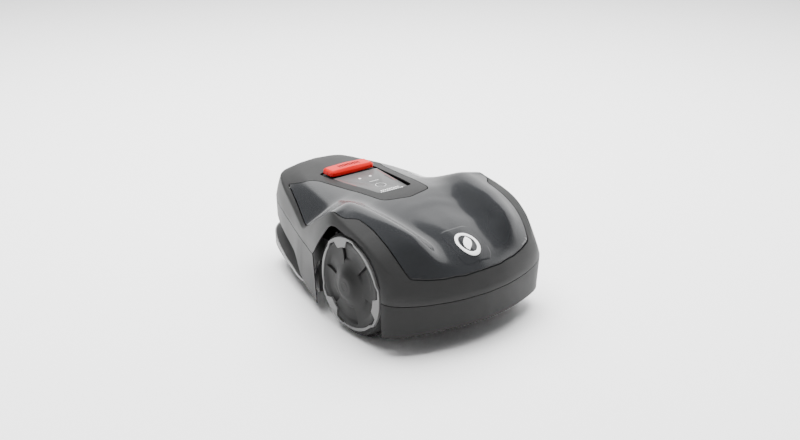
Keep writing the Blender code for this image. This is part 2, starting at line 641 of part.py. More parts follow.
def make_caster(side, tag):
    x = side * CASTER_X
    axle_y = CASTER_Y - CASTER_TRAIL
    half = CASTER_W / 2
    look = ((0.04, 0.04, 0.042), 0.55)
    top = CASTER_R * 2 + 0.003
    fork = box("caster_fork_" + tag, (CASTER_W + 0.011, 0.052, 0.005), (x, CASTER_Y, top + 0.0025), look)
    for vertex in fork.data.vertices:
        vertex.co.y -= 0.010
    legs = [box("fork_leg", (0.0030, 0.020, top - CASTER_R + 0.008),
                (x + s * (half + 0.0035), axle_y, (top + CASTER_R - 0.004) / 2), collection=CUTTERS)
            for s in (-1, 1)]
    stem = cylinder("fork_stem", STEM_R, 0.032, (x, CASTER_Y, top + 0.0190), sides=16, collection=CUTTERS)
    for piece in legs + [stem]:
        boolean(fork, as_cutter(piece), "UNION")
    bore = cylinder("fork_bore", 0.0030, 0.06, (x, axle_y, CASTER_R), axis="X", sides=12, collection=CUTTERS)
    boolean(fork, as_cutter(bore))
    turned("caster_wheel_" + tag, [(0.0034, -half), (CASTER_R - 0.006, -half),
                                   (CASTER_R - 0.0015, -half + 0.003), (CASTER_R, 0),
                                   (CASTER_R - 0.0015, half - 0.003), (CASTER_R - 0.006, half),
                                   (0.0034, half)],
           (x, axle_y, CASTER_R), ((0.05, 0.05, 0.05), 0.7), "X", 1, 20)
    cylinder("caster_pin_" + tag, 0.0026, CASTER_W + 0.011, (x, axle_y, CASTER_R), ((0.6, 0.6, 0.6), 0.3, 1.0),
             "X", 12)


# Cutting system ----------------------------------------------------------------------
def make_cutting_system():
    steel = ((0.60, 0.60, 0.61), 0.3, 1.0)
    plate_z = RECESS_TOP_Z + SHEET + GAP
    carriage = cylinder("height_carriage", 0.0560, 0.005, (0, DISC_Y, plate_z + 0.0025),
                        ((0.06, 0.06, 0.062), 0.6), sides=32)
    arm = box("carriage_arm", (0.026, 0.110, 0.005), (0, DISC_Y + 0.095, plate_z + 0.0025), collection=CUTTERS)
    boolean(carriage, as_cutter(arm), "UNION")
    bore = cylinder("motor_bore", 0.0310, 0.03, (0, DISC_Y, plate_z), sides=32, collection=CUTTERS)
    nut = cylinder("nut_bore", 0.0066, 0.03, (0, DIAL_Y, plate_z), sides=16, collection=CUTTERS)
    boolean(carriage, as_cutter(bore))
    boolean(carriage, as_cutter(nut))
    turned("height_dial", [(0, 0), (0.0165, 0), (0.0165, 0.010), (0.0062, 0.012), (0.0062, 0.094), (0, 0.094)],
           (0, DIAL_Y, 0.0320), ((0.45, 0.20, 0.03), 0.5), sides=16)
    turned("cutting_motor", [(0, 0), (0.0120, 0), (0.0120, 0.004), (0.0306, 0.006), (0.0306, 0.058),
                             (0.0260, 0.062), (0, 0.062)],
           (0, DISC_Y, 0.0670), ((0.30, 0.30, 0.31), 0.35, 0.8), sides=24)
    turned("cutting_disc", [(0, 0), (DISC_R - 0.010, 0.0), (DISC_R, 0.0010), (DISC_R, 0.0030),
                            (0.0300, 0.0040), (0.0100, 0.0120), (0.0100, 0.0252), (0, 0.0252)],
           (0, DISC_Y, DISC_Z), ((0.05, 0.05, 0.052), 0.5), sides=28)
    disc = bpy.data.objects["cutting_disc"]
    for k in range(BLADE_COUNT):
        turn = math.radians(BLADE_FIRST + 360 / BLADE_COUNT * k)
        x = BLADE_PIVOT_R * math.cos(turn)
        y = DISC_Y + BLADE_PIVOT_R * math.sin(turn)
        hole = cylinder("blade_hole", 0.0024, 0.02, (x, y, DISC_Z), sides=12, collection=CUTTERS)
        boolean(disc, as_cutter(hole))
        blade = box(f"blade_{k + 1}", (0.036, 0.018, 0.0010), (x, y, DISC_Z - 0.0012), steel)
        for vertex in blade.data.vertices:
            vertex.co.x += 0.0105
        blade.rotation_euler.z = turn
        boolean(blade, hole)
        turned(f"blade_screw_{k + 1}", [(0, 0), (0.0040, 0), (0.0040, 0.0016), (0.0020, 0.0016),
                                        (0.0020, 0.0075), (0, 0.0075)],
               (x, y, DISC_Z - 0.0036), steel, sides=12)
    turned("skid_plate", [(0, 0), (0.0600, 0), (0.0700, 0.0020), (0.0700, 0.0032), (0.0600, 0.0016),
                          (0.0120, 0.0016), (0.0100, 0.0090), (0, 0.0090)],
           (0, DISC_Y, DISC_Z - 0.0094), ((0.04, 0.04, 0.042), 0.45), sides=24)


clear_scene()
PARTS = make_collection(COLLECTION)
CUTTERS = make_collection("cutters")
AXLE_FRAME = bpy.data.objects.new("axle_frame", None)
AXLE_FRAME.location = (0, AXLE_Y, 0)
PARTS.objects.link(AXLE_FRAME)


def cover_tree():
    """Search tree of the cover's outer skin, in the axle frame."""
    guide = cover_skin("cover_guide", CUTTERS)
    bpy.context.view_layer.update()
    tree = BVHTree.FromObject(guide, bpy.context.evaluated_depsgraph_get())
    as_cutter(guide)
    return tree


def main():
    surface = cover_tree()
    arches = [wheel_arch_cutter(-1), wheel_arch_cutter(1)]
    make_cover(arches)
    skirt("bumper_skirt", BUMPER_EDGE, ((0.075, 0.077, 0.08), 0.6), arches, CHIN_Z)
    skirt("nose_skirt", NOSE_EDGE, ((0.085, 0.087, 0.09), 0.55), arches)
    make_badge(surface)
    make_lower_chassis()
    make_upper_chassis()
    make_inner_parts()
    make_console()
    make_posts(surface)
    for side, tag in SIDES:
        make_wheel(side, tag)
        make_caster(side, tag)
    make_cutting_system()


main()
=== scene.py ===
"""Looks of the robotic lawn mower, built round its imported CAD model.

Lengths are metres. The guide tables are in the axle frame (x to the right, y from the drive
axle towards the nose, z up from the ground); AXLE moves them into the CAD model's frame.
"""
import math

import bmesh
import bpy
import numpy as np
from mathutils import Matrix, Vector
from mathutils.bvhtree import BVHTree


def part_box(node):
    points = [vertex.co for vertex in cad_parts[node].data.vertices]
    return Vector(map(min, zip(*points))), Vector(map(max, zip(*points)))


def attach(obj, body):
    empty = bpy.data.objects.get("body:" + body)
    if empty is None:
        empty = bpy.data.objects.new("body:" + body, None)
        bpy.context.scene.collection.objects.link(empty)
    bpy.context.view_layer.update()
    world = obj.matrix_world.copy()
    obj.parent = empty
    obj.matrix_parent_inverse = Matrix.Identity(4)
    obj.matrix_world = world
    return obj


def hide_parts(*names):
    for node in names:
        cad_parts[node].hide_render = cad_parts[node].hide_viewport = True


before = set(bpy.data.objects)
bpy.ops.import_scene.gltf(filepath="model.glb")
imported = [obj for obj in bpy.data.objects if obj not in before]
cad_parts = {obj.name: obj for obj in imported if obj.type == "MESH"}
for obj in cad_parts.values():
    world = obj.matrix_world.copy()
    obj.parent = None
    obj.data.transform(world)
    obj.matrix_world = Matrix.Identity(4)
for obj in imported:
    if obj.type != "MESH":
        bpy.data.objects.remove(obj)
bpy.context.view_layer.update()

TYRE_LOW, TYRE_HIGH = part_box("tyre_left")
TYRE_R = TYRE_HIGH.z / 2
AXLE = Vector((0, (TYRE_LOW.y + TYRE_HIGH.y) / 2, 0))
WALL = 0.0026              # moulded wall of the covers
SEAM = 0.0011              # half the width of the line round the hood
SKIRT_DROP = 0.0016        # gap between the cover's lower edge and the skirts
SKIRT_WALL = 0.0020
ARCH_R = 0.105
CHIN_Z = 0.070             # crease round the bumper
UPRIGHT = Vector((0, 0, 0.002))
CUT_Z = (0.10, 0.30)       # heights between which the cover's cutters reach
HOOD_CORNER = 0.007        # rounding of the hood's outline
MIRROR = np.array([-1.0, 1.0, 1.0])
SIDES = ((-1, "left"), (1, "right"))

# The cover's lines for the right half, from the middle of the rear to the middle of the
# nose. Each row crosses the cover: seam, flare, crease, shoulder, valley, centre.
COVER_ROWS = [
    ((0, -.187, .107), (0, -.179, .128), (0, -.168, .148),
     (0, -.155, .160), (0, -.142, .172), (0, -.128, .182)),
    ((.060, -.181, .107), (.057, -.174, .128), (.054, -.164, .148),
     (.046, -.149, .162), (.034, -.130, .178), (0, -.104, .1905)),
    ((.112, -.168, .107), (.108, -.162, .128), (.102, -.152, .149),
     (.084, -.136, .176), (.054, -.106, .187), (0, -.074, .201)),
    ((.158, -.150, .108), (.154, -.146, .128), (.145, -.138, .151),
     (.104, -.120, .204), (.068, -.080, .195), (0, -.044, .2095)),
    ((.189, -.132, .110), (.186, -.128, .133), (.173, -.121, .158),
     (.114, -.103, .223), (.078, -.055, .2015), (0, -.016, .2155)),
    ((.2045, -.114, .1125), (.199, -.104, .150), (.189, -.100, .175),
     (.1195, -.085, .2315), (.084, -.032, .2085), (0, .008, .2205)),
    ((.2065, -.085, .114), (.2045, -.078, .176), (.1955, -.078, .194),
     (.125, -.060, .2375), (.088, -.012, .214), (0, .028, .2255)),
    ((.208, -.045, .116), (.207, -.042, .195), (.1995, -.042, .2152),
     (.131, -.025, .2435), (.092, .010, .2195), (0, .045, .2285)),
    ((.2082, 0, .118), (.2078, 0, .206), (.200, 0, .2285),
     (.137, .015, .2475), (.096, .035, .2255), (0, .060, .231)),
    ((.208, .045, .121), (.2075, .045, .214), (.197, .045, .2385),
     (.1425, .055, .2505), (.102, .065, .2305), (0, .080, .2335)),
    ((.2075, .075, .1235), (.2065, .075, .208), (.1955, .069, .2415),
     (.1435, .080, .2495), (.106, .090, .2305), (0, .100, .2345)),
    ((.2035, .110, .126), (.203, .110, .187), (.193, .108, .2185),
     (.1415, .108, .238), (.108, .118, .229), (0, .125, .2350)),
    ((.193, .150, .130), (.193, .150, .166), (.188, .150, .191),
     (.1415, .133, .2255), (.107, .140, .228), (0, .148, .2350)),
    ((.181, .195, .134), (.1815, .195, .149), (.180, .195, .1625),
     (.142, .157, .2135), (.104, .165, .2265), (0, .170, .2343)),
    ((.1705, .232, .1372), (.170, .232, .153), (.167, .232, .168),
     (.1295, .212, .2170), (.095, .218, .2258), (0, .222, .2325)),
    ((.1587, .270, .1407), (.157, .270, .160), (.1547, .270, .179),
     (.1139, .270, .2208), (.084, .272, .2260), (0, .275, .2308)),
    ((.1400, .330, .1462), (.138, .330, .168), (.1345, .330, .1935),
     (.091, .330, .2225), (.068, .332, .2262), (0, .335, .2302)),
    ((.1192, .390, .1516), (.1163, .389, .177), (.1108, .387, .2055),
     (.070, .382, .2228), (.051, .387, .2256), (0, .390, .2270)),
    ((.0945, .431, .155), (.0925, .4245, .182), (.088, .414, .2105),
     (.058, .404, .2222), (.041, .405, .2238), (0, .405, .2250)),
    ((.051, .443, .156), (.050, .437, .183), (.046, .4255, .2122),
     (.031, .414, .2210), (.023, .410, .2230), (0, .410, .2242)),
    ((0, .445, .156), (0, .439, .183), (0, .4275, .2128),
     (0, .419, .2198), (0, .4145, .2222), (0, .4125, .2235)),
]

# Right halves of plan outlines, seen from above: the hood, the console's frame inside it,
# and the recess for the panel and the stop bar
HOOD_OUTLINE = [(0, -.1675), (.045, -.1655), (.090, -.1555), (.125, -.1440), (.150, -.1330),
                (.1560, -.1285), (.1620, -.112), (.1660, -.092), (.1680, -.060), (.1680, -.030),
                (.1700, .012), (.1895, .033), (.1925, .066), (.1905, .105), (.1865, .140),
                (.1770, .184), (.1160, .346), (.1035, .299)]
# Where the hood's flanks would meet if nothing cut them short, and the open side of the cutter
HOOD_TIP = (.0934, .406)
CONSOLE_BACK = [(0, .420), (.140, .420), (.1160, .346)]
CONSOLE_FRAME = [(.0915, .284), (.085, .266), (.0763, .188), (.0645, .088), (.0600, .0765), (.050, .0715),
                 (0, .0615)]
RECESS = [(0, .1085), (.0400, .1110), (.0445, .1160), (.0635, .2600), (.0635, .2990), (.0600, .3040),
          (0, .3065)]
# Lower edges of the skirts: a place along COVER_ROWS and the point that hangs below it
BUMPER_EDGE = [(0, (0, -.1845, .0485)), (1, (.060, -.1785, .0485)), (2, (.112, -.1655, .0470)),
               (3, (.158, -.1475, .0440)), (4, (.187, -.129, .0405)), (5, (.2005, -.112, .0395)),
               (5.6, (.2045, -.096, .0420)), (6, (.207, -.086, .0505))]
NOSE_EDGE = [(11, (.2045, .112, .022)), (11.5, (.1985, .130, .030)), (12, (.193, .155, .035)),
             (12.6, (.187, .180, .039)), (13.1, (.1820, .200, .0460)), (13.35, (.179, .214, .054)),
             (13.6, (.1755, .226, .066)), (13.9, (.172, .238, .079)), (14.3, (.167, .252, .0865)),
             (15, (.159, .275, .0915)), (16, (.1415, .330, .1005)), (17, (.1195, .389, .1105)),
             (18, (.094, .4275, .113)), (19, (.050, .4385, .1135)), (20, (0, .4405, .1135))]
# Lower chassis: lip x, lip y, lip underside z, lip top z, wall x, wall y. Its curved nose
# starts at row TUB_NOSE.
TUB_NOSE = 9
TUB_ROWS = [(0, -.164, .040, .044, 0, -.158), (.060, -.160, .040, .044, .060, -.154),
            (.110, -.148, .040, .044, .110, -.142), (.148, -.129, .040, .044, .147, -.128),
            (.150, -.060, .040, .044, .150, -.060), (.150, .060, .040, .044, .150, .060),
            (.150, .1285, .040, .044, .150, .1285), (.1815, .138, .038, .108, .153, .142),
            (.1715, .175, .037, .060, .154, .175), (.179, .206, .037, .0405, .152, .206),
            (.175, .232, .039, .044, .147, .232), (.165, .270, .042, .049, .138, .268),
            (.158, .300, .044, .053, .130, .298), (.149, .330, .046, .058, .121, .326),
            (.140, .360, .049, .065, .111, .354), (.1285, .390, .053, .073, .099, .380),
            (.112, .414, .056, .080, .084, .398), (.085, .430, .058, .085, .062, .408),
            (.045, .4375, .059, .088, .032, .413), (0, .4395, .060, .088, 0, .415)]
WALL_FOOT_Z = 0.096        # where the hollow above the lip meets the upright wall
DECK_Y, DECK_R = 0.128, 0.118
CASTER_X, CASTER_Y, CASTER_R = 0.070, 0.310, 0.0525


# Mesh helpers ---------------------------------
def new_object(name, mesh):
    obj = bpy.data.objects.new(name, mesh)
    bpy.context.scene.collection.objects.link(obj)
    return obj


def from_bmesh(name, bm, recalc=True):
    """Turn a bmesh in the axle frame into an object in the CAD frame."""
    if recalc:
        bmesh.ops.recalc_face_normals(bm, faces=bm.faces)
    bmesh.ops.translate(bm, vec=AXLE, verts=bm.verts)
    mesh = bpy.data.meshes.new(name)
    bm.to_mesh(mesh)
    bm.free()
    return new_object(name, mesh)


def grid_mesh(rows, close_rows=False, close_columns=False):
    """Bmesh over an (n, m, 3) array of points."""
    bm = bmesh.new()
    verts = [[bm.verts.new(p) for p in row] for row in rows]
    n = len(verts)
    m = len(verts[0])
    for i in range(n if close_rows else n - 1):
        for j in range(m if close_columns else m - 1):
            a, b = verts[i], verts[(i + 1) % n]
            k = (j + 1) % m
            bm.faces.new((a[j], a[k], b[k], b[j]))
    return bm


def stacked(name, rings):
    """Solid through a stack of closed rings, with a flat face at each end."""
    bm = grid_mesh(rings, close_columns=True)
    bm.verts.ensure_lookup_table()
    count = len(rings[0])
    bm.faces.new(bm.verts[:count])
    bm.faces.new(bm.verts[-count:])
    return from_bmesh(name, bm)


def bake(obj):
    """Apply an object's modifiers."""
    graph = bpy.context.evaluated_depsgraph_get()
    mesh = bpy.data.meshes.new_from_object(obj.evaluated_get(graph), depsgraph=graph)
    obj.modifiers.clear()
    obj.data = mesh
    return obj


def smooth(obj, angle=35):
    obj.data.polygons.foreach_set("use_smooth", [True] * len(obj.data.polygons))
    obj.data.set_sharp_from_angle(angle=math.radians(angle))
    return obj


def boolean(obj, cutters, operation="DIFFERENCE"):
    """Cut an object with others, or join them to it; cut faces take the cutter's look."""
    for cutter in cutters:
        mod = obj.modifiers.new("cut", "BOOLEAN")
        mod.operation = operation
        mod.object = cutter
        mod.solver = "EXACT"
        mod.material_mode = "TRANSFER"
    return obj


def bevel(obj, width, segments=2, angle=40):
    mod = obj.modifiers.new("bevel", "BEVEL")
    mod.width = width
    mod.segments = segments
    mod.limit_method = "ANGLE"
    mod.angle_limit = math.radians(angle)
    return obj


def solidify(obj, thickness=WALL):
    """Give an open surface a wall on its inner side."""
    mod = obj.modifiers.new("wall", "SOLIDIFY")
    mod.thickness = thickness
    mod.offset = -1
    mod.use_even_offset = True
    return obj


def coated(obj, look):
    """Give an object its look before it is cut, so that cut faces can take the cutter's."""
    obj.data.materials.clear()
    obj.data.materials.append(look)
    return obj


def drop(*objects):
    """Remove helpers that have done their work."""
    for obj in objects:
        bpy.data.objects.remove(obj, do_unlink=True)


def done(obj, body, look, slot, *replaced, angle=35):
    """Finish a piece: material, smooth shading, the body it rides on, and hiding the CAD nodes it replaces.
    The slot argument is not used.
    """
    if not any(obj.data.materials):
        coated(obj, look)
        obj.data.polygons.foreach_set("material_index", [0] * len(obj.data.polygons))
    smooth(obj, angle)
    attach(obj, body)
    if replaced:
        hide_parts(*replaced)
    return obj


def rounded(outline, cut, steps=5):
    """Round each corner of a closed outline, cutting it back by at most cut."""
    result = []
    for k, here in enumerate(outline):
        here = Vector(here)
        before = Vector(outline[k - 1])
        after = Vector(outline[(k + 1) % len(outline)])
        a = here + (before - here) * min(0.5, cut / max(1e-9, (before - here).length))
        b = here + (after - here) * min(0.5, cut / max(1e-9, (after - here).length))
        for s in range(steps + 1):
            u = s / steps
            p = a * (1 - u) ** 2 + here * 2 * u * (1 - u) + b * u * u
            if not result or (p - result[-1]).length > 1e-5:
                result.append(p)
    if (result[0] - result[-1]).length < 1e-5:
        result.pop()
    return [tuple(p) for p in result]


def both_sides(half):
    """Close the right half of an outline with its mirror image."""
    return half + [(-x, y) for x, y in reversed(half) if x > 1e-9]


def grown(outline, amount):
    """Offset a closed outline outwards by amount (inwards when negative)."""
    area = sum(a[0] * b[1] - b[0] * a[1] for a, b in zip(outline, outline[1:] + outline[:1]))
    turn = 1 if area > 0 else -1
    result = []
    for k, here in enumerate(outline):
        e1 = (Vector(here) - Vector(outline[k - 1])).normalized()
        e2 = (Vector(outline[(k + 1) % len(outline)]) - Vector(here)).normalized()
        n1 = Vector((e1.y, -e1.x)) * turn
        n2 = Vector((e2.y, -e2.x)) * turn
        mitre = (n1 + n2).normalized()
        result.append(tuple(Vector(here) + mitre * (amount / max(0.5, mitre.dot(n1)))))
    return result


def extruded(name, points, offset):
    """Closed prism over a face given by its 3-D points, swept by offset."""
    bm = bmesh.new()
    face = bm.faces.new([bm.verts.new(p) for p in points])
    swept = bmesh.ops.extrude_face_region(bm, geom=[face])
    moved = [v for v in swept["geom"] if isinstance(v, bmesh.types.BMVert)]
    bmesh.ops.translate(bm, verts=moved, vec=offset)
    return from_bmesh(name, bm)


def prism(name, outline, z0, z1):
    return extruded(name, [(x, y, z0) for x, y in outline], (0, 0, z1 - z0))


def disc_prism(name, radius, z0, z1, x=0.0, y=0.0, sides=64):
    turns = [2 * math.pi * k / sides for k in range(sides)]
    return prism(name, [(x + radius * math.cos(t), y + radius * math.sin(t)) for t in turns], z0, z1)


def turned(name, profile, centre, axis="Z", side=1, sides=96):
    """Solid of revolution through a closed (radius, height) profile."""
    bm = bmesh.new()
    rings = []
    for k in range(sides):
        turn = 2 * math.pi * k / sides
        ring = []
        for radius, height in profile:
            a = radius * math.cos(turn)
            b = radius * math.sin(turn)
            local = Vector((a, b, height) if axis == "Z" else (side * height, a, b))
            ring.append(bm.verts.new(local + Vector(centre)))
        rings.append(ring)
    count = len(profile)
    for k in range(sides):
        here, there = rings[k], rings[(k + 1) % sides]
        for i in range(count):
            j = (i + 1) % count
            if profile[i][0] or profile[j][0]:
                bm.faces.new((here[i], here[j], there[j], there[i]))
    bmesh.ops.remove_doubles(bm, verts=bm.verts, dist=1e-6)
    return from_bmesh(name, bm)


# Materials ------------------------------------
def fresh(nodes, kind, **values):
    """New shader node with some of its inputs set; an underscore stands for a space."""
    node = nodes.new("ShaderNode" + kind)
    for name, value in values.items():
        node.inputs[name.replace("_", " ")].default_value = value
    return node


def moulded(name, colour, rough, grain, grain_depth, tone=0.06, metallic=0.0, coat=0.0, shine=0.3):
    """Plastic, rubber or metal with moulded grain, faint tone drift and uneven gloss."""
    mat = bpy.data.materials.new(name)
    mat.use_nodes = True
    mat.diffuse_color = (*colour, 1)
    nodes = mat.node_tree.nodes
    links = mat.node_tree.links
    shader = nodes["Principled BSDF"]
    shader.inputs["Metallic"].default_value = metallic
    shader.inputs["Coat Weight"].default_value = coat
    shader.inputs["Coat Roughness"].default_value = 0.04
    shader.inputs["Specular IOR Level"].default_value = shine
    place = fresh(nodes, "TexCoord")
    drift = fresh(nodes, "TexNoise", Scale=14, Detail=6)
    fine = fresh(nodes, "TexNoise", Scale=grain, Detail=3)
    for noise in (drift, fine):
        links.new(place.outputs["Object"], noise.inputs["Vector"])
    blend = fresh(nodes, "Mix", Factor=0.35)
    blend.data_type = "FLOAT"
    links.new(drift.outputs["Fac"], blend.inputs["A"])
    links.new(fine.outputs["Fac"], blend.inputs["B"])
    ramp = fresh(nodes, "ValToRGB")
    for stop, position, factor in zip(ramp.color_ramp.elements, (0.3, 0.7), (1 - tone, 1 + tone)):
        stop.position = position
        stop.color = (*[min(1, c * factor) for c in colour], 1)
    links.new(blend.outputs["Result"], ramp.inputs["Fac"])
    links.new(ramp.outputs["Color"], shader.inputs["Base Color"])
    span = fresh(nodes, "MapRange", From_Min=0.3, From_Max=0.7, To_Min=rough * 0.88,
                 To_Max=min(1, rough * 1.12))
    links.new(blend.outputs["Result"], span.inputs["Value"])
    links.new(span.outputs["Result"], shader.inputs["Roughness"])
    bump = fresh(nodes, "Bump", Strength=0.6, Distance=grain_depth)
    links.new(fine.outputs["Fac"], bump.inputs["Height"])
    links.new(bump.outputs["Normal"], shader.inputs["Normal"])
    return mat


LOOKS = {
    # Lighter grey of the strip on the lip's edge: painted light for the lit face of the lip, a lit copy of
    # the tub's grey
    "lit_lip_band": moulded("painted_lit_lip_strip_grey", (0.20,) * 3, 0.45, 1200, 0.00003),
    "body": moulded("body_matte", (0.025,) * 3, 0.50, 1400, 0.00004, shine=0.24),
    "skirt": moulded("skirt_matte", (0.016,) * 3, 0.55, 1400, 0.00004, shine=0.18),
    "gloss": moulded("hood_gloss", (0.017, 0.018, 0.0195), 0.22, 2600, 0.000004, 0.04, 0.0, 0.5),
    # Dark grey of the whole lower chassis: painted shade for the scoops under the cover, darker than the
    # lit lip strip
    "lip": moulded("painted_shade_tub_grey", (0.026,) * 3, 0.45, 1200, 0.00003),
    "dark": moulded("dark_plastic", (0.014, 0.014, 0.015), 0.55, 1200, 0.00004),
    "rubber": moulded("tyre_rubber", (0.010,) * 3, 0.75, 700, 0.00009),
    "cap": moulded("cap_plastic", (0.019,) * 3, 0.50, 1300, 0.00003, shine=0.12),
    "ring": moulded("ring_grey", (0.125,) * 3, 0.38, 1300, 0.00003),
    "stop": moulded("stop_red", (0.60, 0.004, 0.004), 0.40, 1500, 0.00003),
    "stop_mark": moulded("stop_mark_red", (0.16, 0.008, 0.008), 0.5, 1500, 0.00003),
    "panel": moulded("panel_satin", (0.085,) * 3, 0.34, 2400, 0.000006, 0.05),
    "print": moulded("print_white", (0.80,) * 3, 0.45, 1500, 0.00001, 0.02),
    "print_dark": moulded("print_dark", (0.05,) * 3, 0.45, 1500, 0.00001, 0.02),
    "print_red": moulded("print_red", (0.36, 0.05, 0.05), 0.45, 1500, 0.00001, 0.02),
    "badge": moulded("badge_white", (0.86,) * 3, 0.28, 1500, 0.00001, 0.02),
    "steel": moulded("ground_steel", (0.55, 0.55, 0.56), 0.30, 500, 0.00002, 0.05, 1.0),
    "brass": moulded("contact_brass", (0.70, 0.55, 0.28), 0.30, 500, 0.00002, 0.05, 1.0),
    "motor": moulded("motor_case", (0.16, 0.16, 0.17), 0.40, 500, 0.00003, 0.05, 0.6),
    "blue": moulded("battery_wrap", (0.03, 0.06, 0.14), 0.45, 900, 0.00003),
    "board": moulded("board_green", (0.01, 0.09, 0.03), 0.40, 900, 0.00003),
    "orange": moulded("dial_orange", (0.62, 0.17, 0.02), 0.42, 1200, 0.00003),
}


# Cover surface --------------------------------
def catmull(points, places):
    """Catmull-Rom curve through an (n, ...) array, at an array of places from 0 to n - 1."""
    points = np.asarray(points, float)
    ext = np.concatenate([[2 * points[0] - points[1]], points, [2 * points[-1] - points[-2]]])
    k = np.minimum(places.astype(int), len(points) - 2)
    u = (places - k).reshape((-1,) + (1,) * (points.ndim - 1))
    p0, p1, p2, p3 = ext[k], ext[k + 1], ext[k + 2], ext[k + 3]
    return 0.5 * (2 * p1 + (p2 - p0) * u + (2 * p0 - 5 * p1 + 4 * p2 - p3) * u ** 2
                  + (3 * p1 - p0 - 3 * p2 + p3) * u ** 3)


def faired(curves, passes):
    """Smooth guide curves along their length; side guides cross the centre plane squarely."""
    for _ in range(passes):
        before = curves[1] * MIRROR
        after = curves[-2] * MIRROR
        before[-1] = 2 * curves[0, -1] - curves[1, -1]
        after[-1] = 2 * curves[-1, -1] - curves[-2, -1]
        ext = np.concatenate([[before], curves, [after]])
        curves = 0.25 * ext[:-2] + 0.5 * ext[1:-1] + 0.25 * ext[2:]
    return curves


STEPS = 12
PLACES = np.linspace(0, len(COVER_ROWS) - 1, STEPS * (len(COVER_ROWS) - 1) + 1)
GUIDES = faired(catmull(COVER_ROWS, PLACES), 8)


def corner(before, here, after, back, ahead, steps):
    """Rounded corner from back along the edge to before, to ahead along the edge to after."""
    a = here + (before - here) * back
    b = here + (after - here) * ahead
    return [a * (1 - u) ** 2 + here * 2 * u * (1 - u) + b * u * u for u in np.linspace(0, 1, steps + 1)]


def cover_points():
    """Points of the cover's right half, one row for each place along it."""
    seam, flare, crease, shoulder, valley, centre = [GUIDES[:, g] for g in range(6)]
    upright = seam + np.array(UPRIGHT)
    level = centre.copy()
    level[:, 0] = valley[:, 0] * 0.45
    line = [seam, upright]
    line += corner(upright, flare, crease, 0.5, 0.35, 6)
    line += [flare + (crease - flare) * 0.6]
    line += corner(flare, crease, shoulder, 0.14, 0.10, 4)
    line += [crease + (shoulder - crease) * s for s in (0.25, 0.4, 0.55)]
    line += corner(crease, shoulder, valley, 0.34, 0.36, 9)
    line += [shoulder + (valley - shoulder) * s for s in (0.36, 0.5)]
    line += corner(shoulder, valley, level, 0.38, 0.42, 9)
    line += corner(valley, level, centre, 0.5, 0.5, 6)
    line += [centre + (level - centre) * 0.25, centre]
    points = np.stack(line, axis=1)
    points[0, :, 0] = 0
    points[-1, :, 0] = 0
    points[:, -1, 0] = 0
    return points


def cover_skin(name):
    """The whole cover's outer surface as one open mesh."""
    right = cover_points()
    left = right[:, ::-1] * MIRROR
    bm = grid_mesh(np.concatenate([right, left[:, 1:]], axis=1))
    bmesh.ops.remove_doubles(bm, verts=bm.verts, dist=0.00004)
    bmesh.ops.dissolve_degenerate(bm, edges=bm.edges, dist=0.00004)
    bmesh.ops.recalc_face_normals(bm, faces=bm.faces)
    if sum(f.normal.z * f.calc_area() for f in bm.faces) < 0:
        bmesh.ops.reverse_faces(bm, faces=bm.faces)
    return from_bmesh(name, bm, recalc=False)


GUIDE = cover_skin("cover_guide")
TREE = BVHTree.FromPolygons([v.co.copy() for v in GUIDE.data.vertices],
                            [tuple(p.vertices) for p in GUIDE.data.polygons])


def skin_point(x, y):
    """Point of the cover above a plan point, and its normal, in the axle frame."""
    hit, normal, _, _ = TREE.ray_cast(Vector((x, y, 1)) + AXLE, Vector((0, 0, -1)))
    return hit - AXLE, normal


# Floating cover -------------------------------
def arch_cutter(side):
    """Prism along x: a circle round the axle, opened towards the nose."""
    outline = []
    for k in range(49):
        turn = math.radians(183 - k * 2)
        outline.append((ARCH_R * math.cos(turn), TYRE_R + ARCH_R * math.sin(turn)))
    outline += [(.028, .2190), (.042, .2215), (.055, .2195), (.066, .2125), (.128, .1390), (.1385, .1290),
                (.118, .020), (.118, .001), (-.103, .001), (-.104, .060)]
    outline = rounded(outline, 0.004, 3)
    return extruded("arch_cutter", [(side * 0.151, y, z) for y, z in outline], (side * 0.109, 0, 0))


ARCHES = [coated(arch_cutter(side), LOOKS["body"]) for side, _ in SIDES]
HOOD_PLAN = rounded(both_sides(HOOD_OUTLINE + CONSOLE_FRAME), HOOD_CORNER)


def surround(name, outline):
    """Thick ring round an outline, which cuts away all that lies outside it."""
    middle = Vector((0, 0.1))
    far = 0.6
    low, high = CUT_Z
    rows = []
    for point in grown(outline, -SEAM):
        away = middle + (Vector(point) - middle).normalized() * far
        rows.append([(*point, low), (*away, low), (*away, high), (*point, high)])
    return from_bmesh(name, grid_mesh(rows, close_rows=True, close_columns=True))


def make_cover():
    """Matt cover with its arches and console recess, and the glossy hood let into it."""
    shell = coated(solidify(new_object("body_cover", GUIDE.data.copy())), LOOKS["body"])
    hood_cut = coated(prism("hood_cutter", grown(HOOD_PLAN, SEAM), *CUT_Z), LOOKS["dark"])
    recess = rounded(both_sides(RECESS), 0.004)
    recess_cut = coated(prism("recess_cutter", recess, 0.20, 0.30), LOOKS["dark"])
    bake(boolean(shell, ARCHES + [hood_cut, recess_cut]))
    done(shell, "cover", LOOKS["body"], "body_shell", "body_shell")

    hood = coated(solidify(new_object("hood_cover", GUIDE.data.copy())), LOOKS["gloss"])
    edge = rounded(both_sides(HOOD_OUTLINE[:-2] + [HOOD_TIP]), HOOD_CORNER)
    outside = coated(surround("hood_outside", edge), LOOKS["dark"])
    inner = both_sides(CONSOLE_BACK + HOOD_OUTLINE[-1:] + CONSOLE_FRAME)
    opening = prism("console_opening", grown(rounded(inner, HOOD_CORNER), SEAM), *CUT_Z)
    bake(boolean(hood, [outside, coated(opening, LOOKS["dark"])]))
    done(hood, "cover", LOOKS["gloss"], "hood", "hood")
    drop(hood_cut, recess_cut, outside, opening)


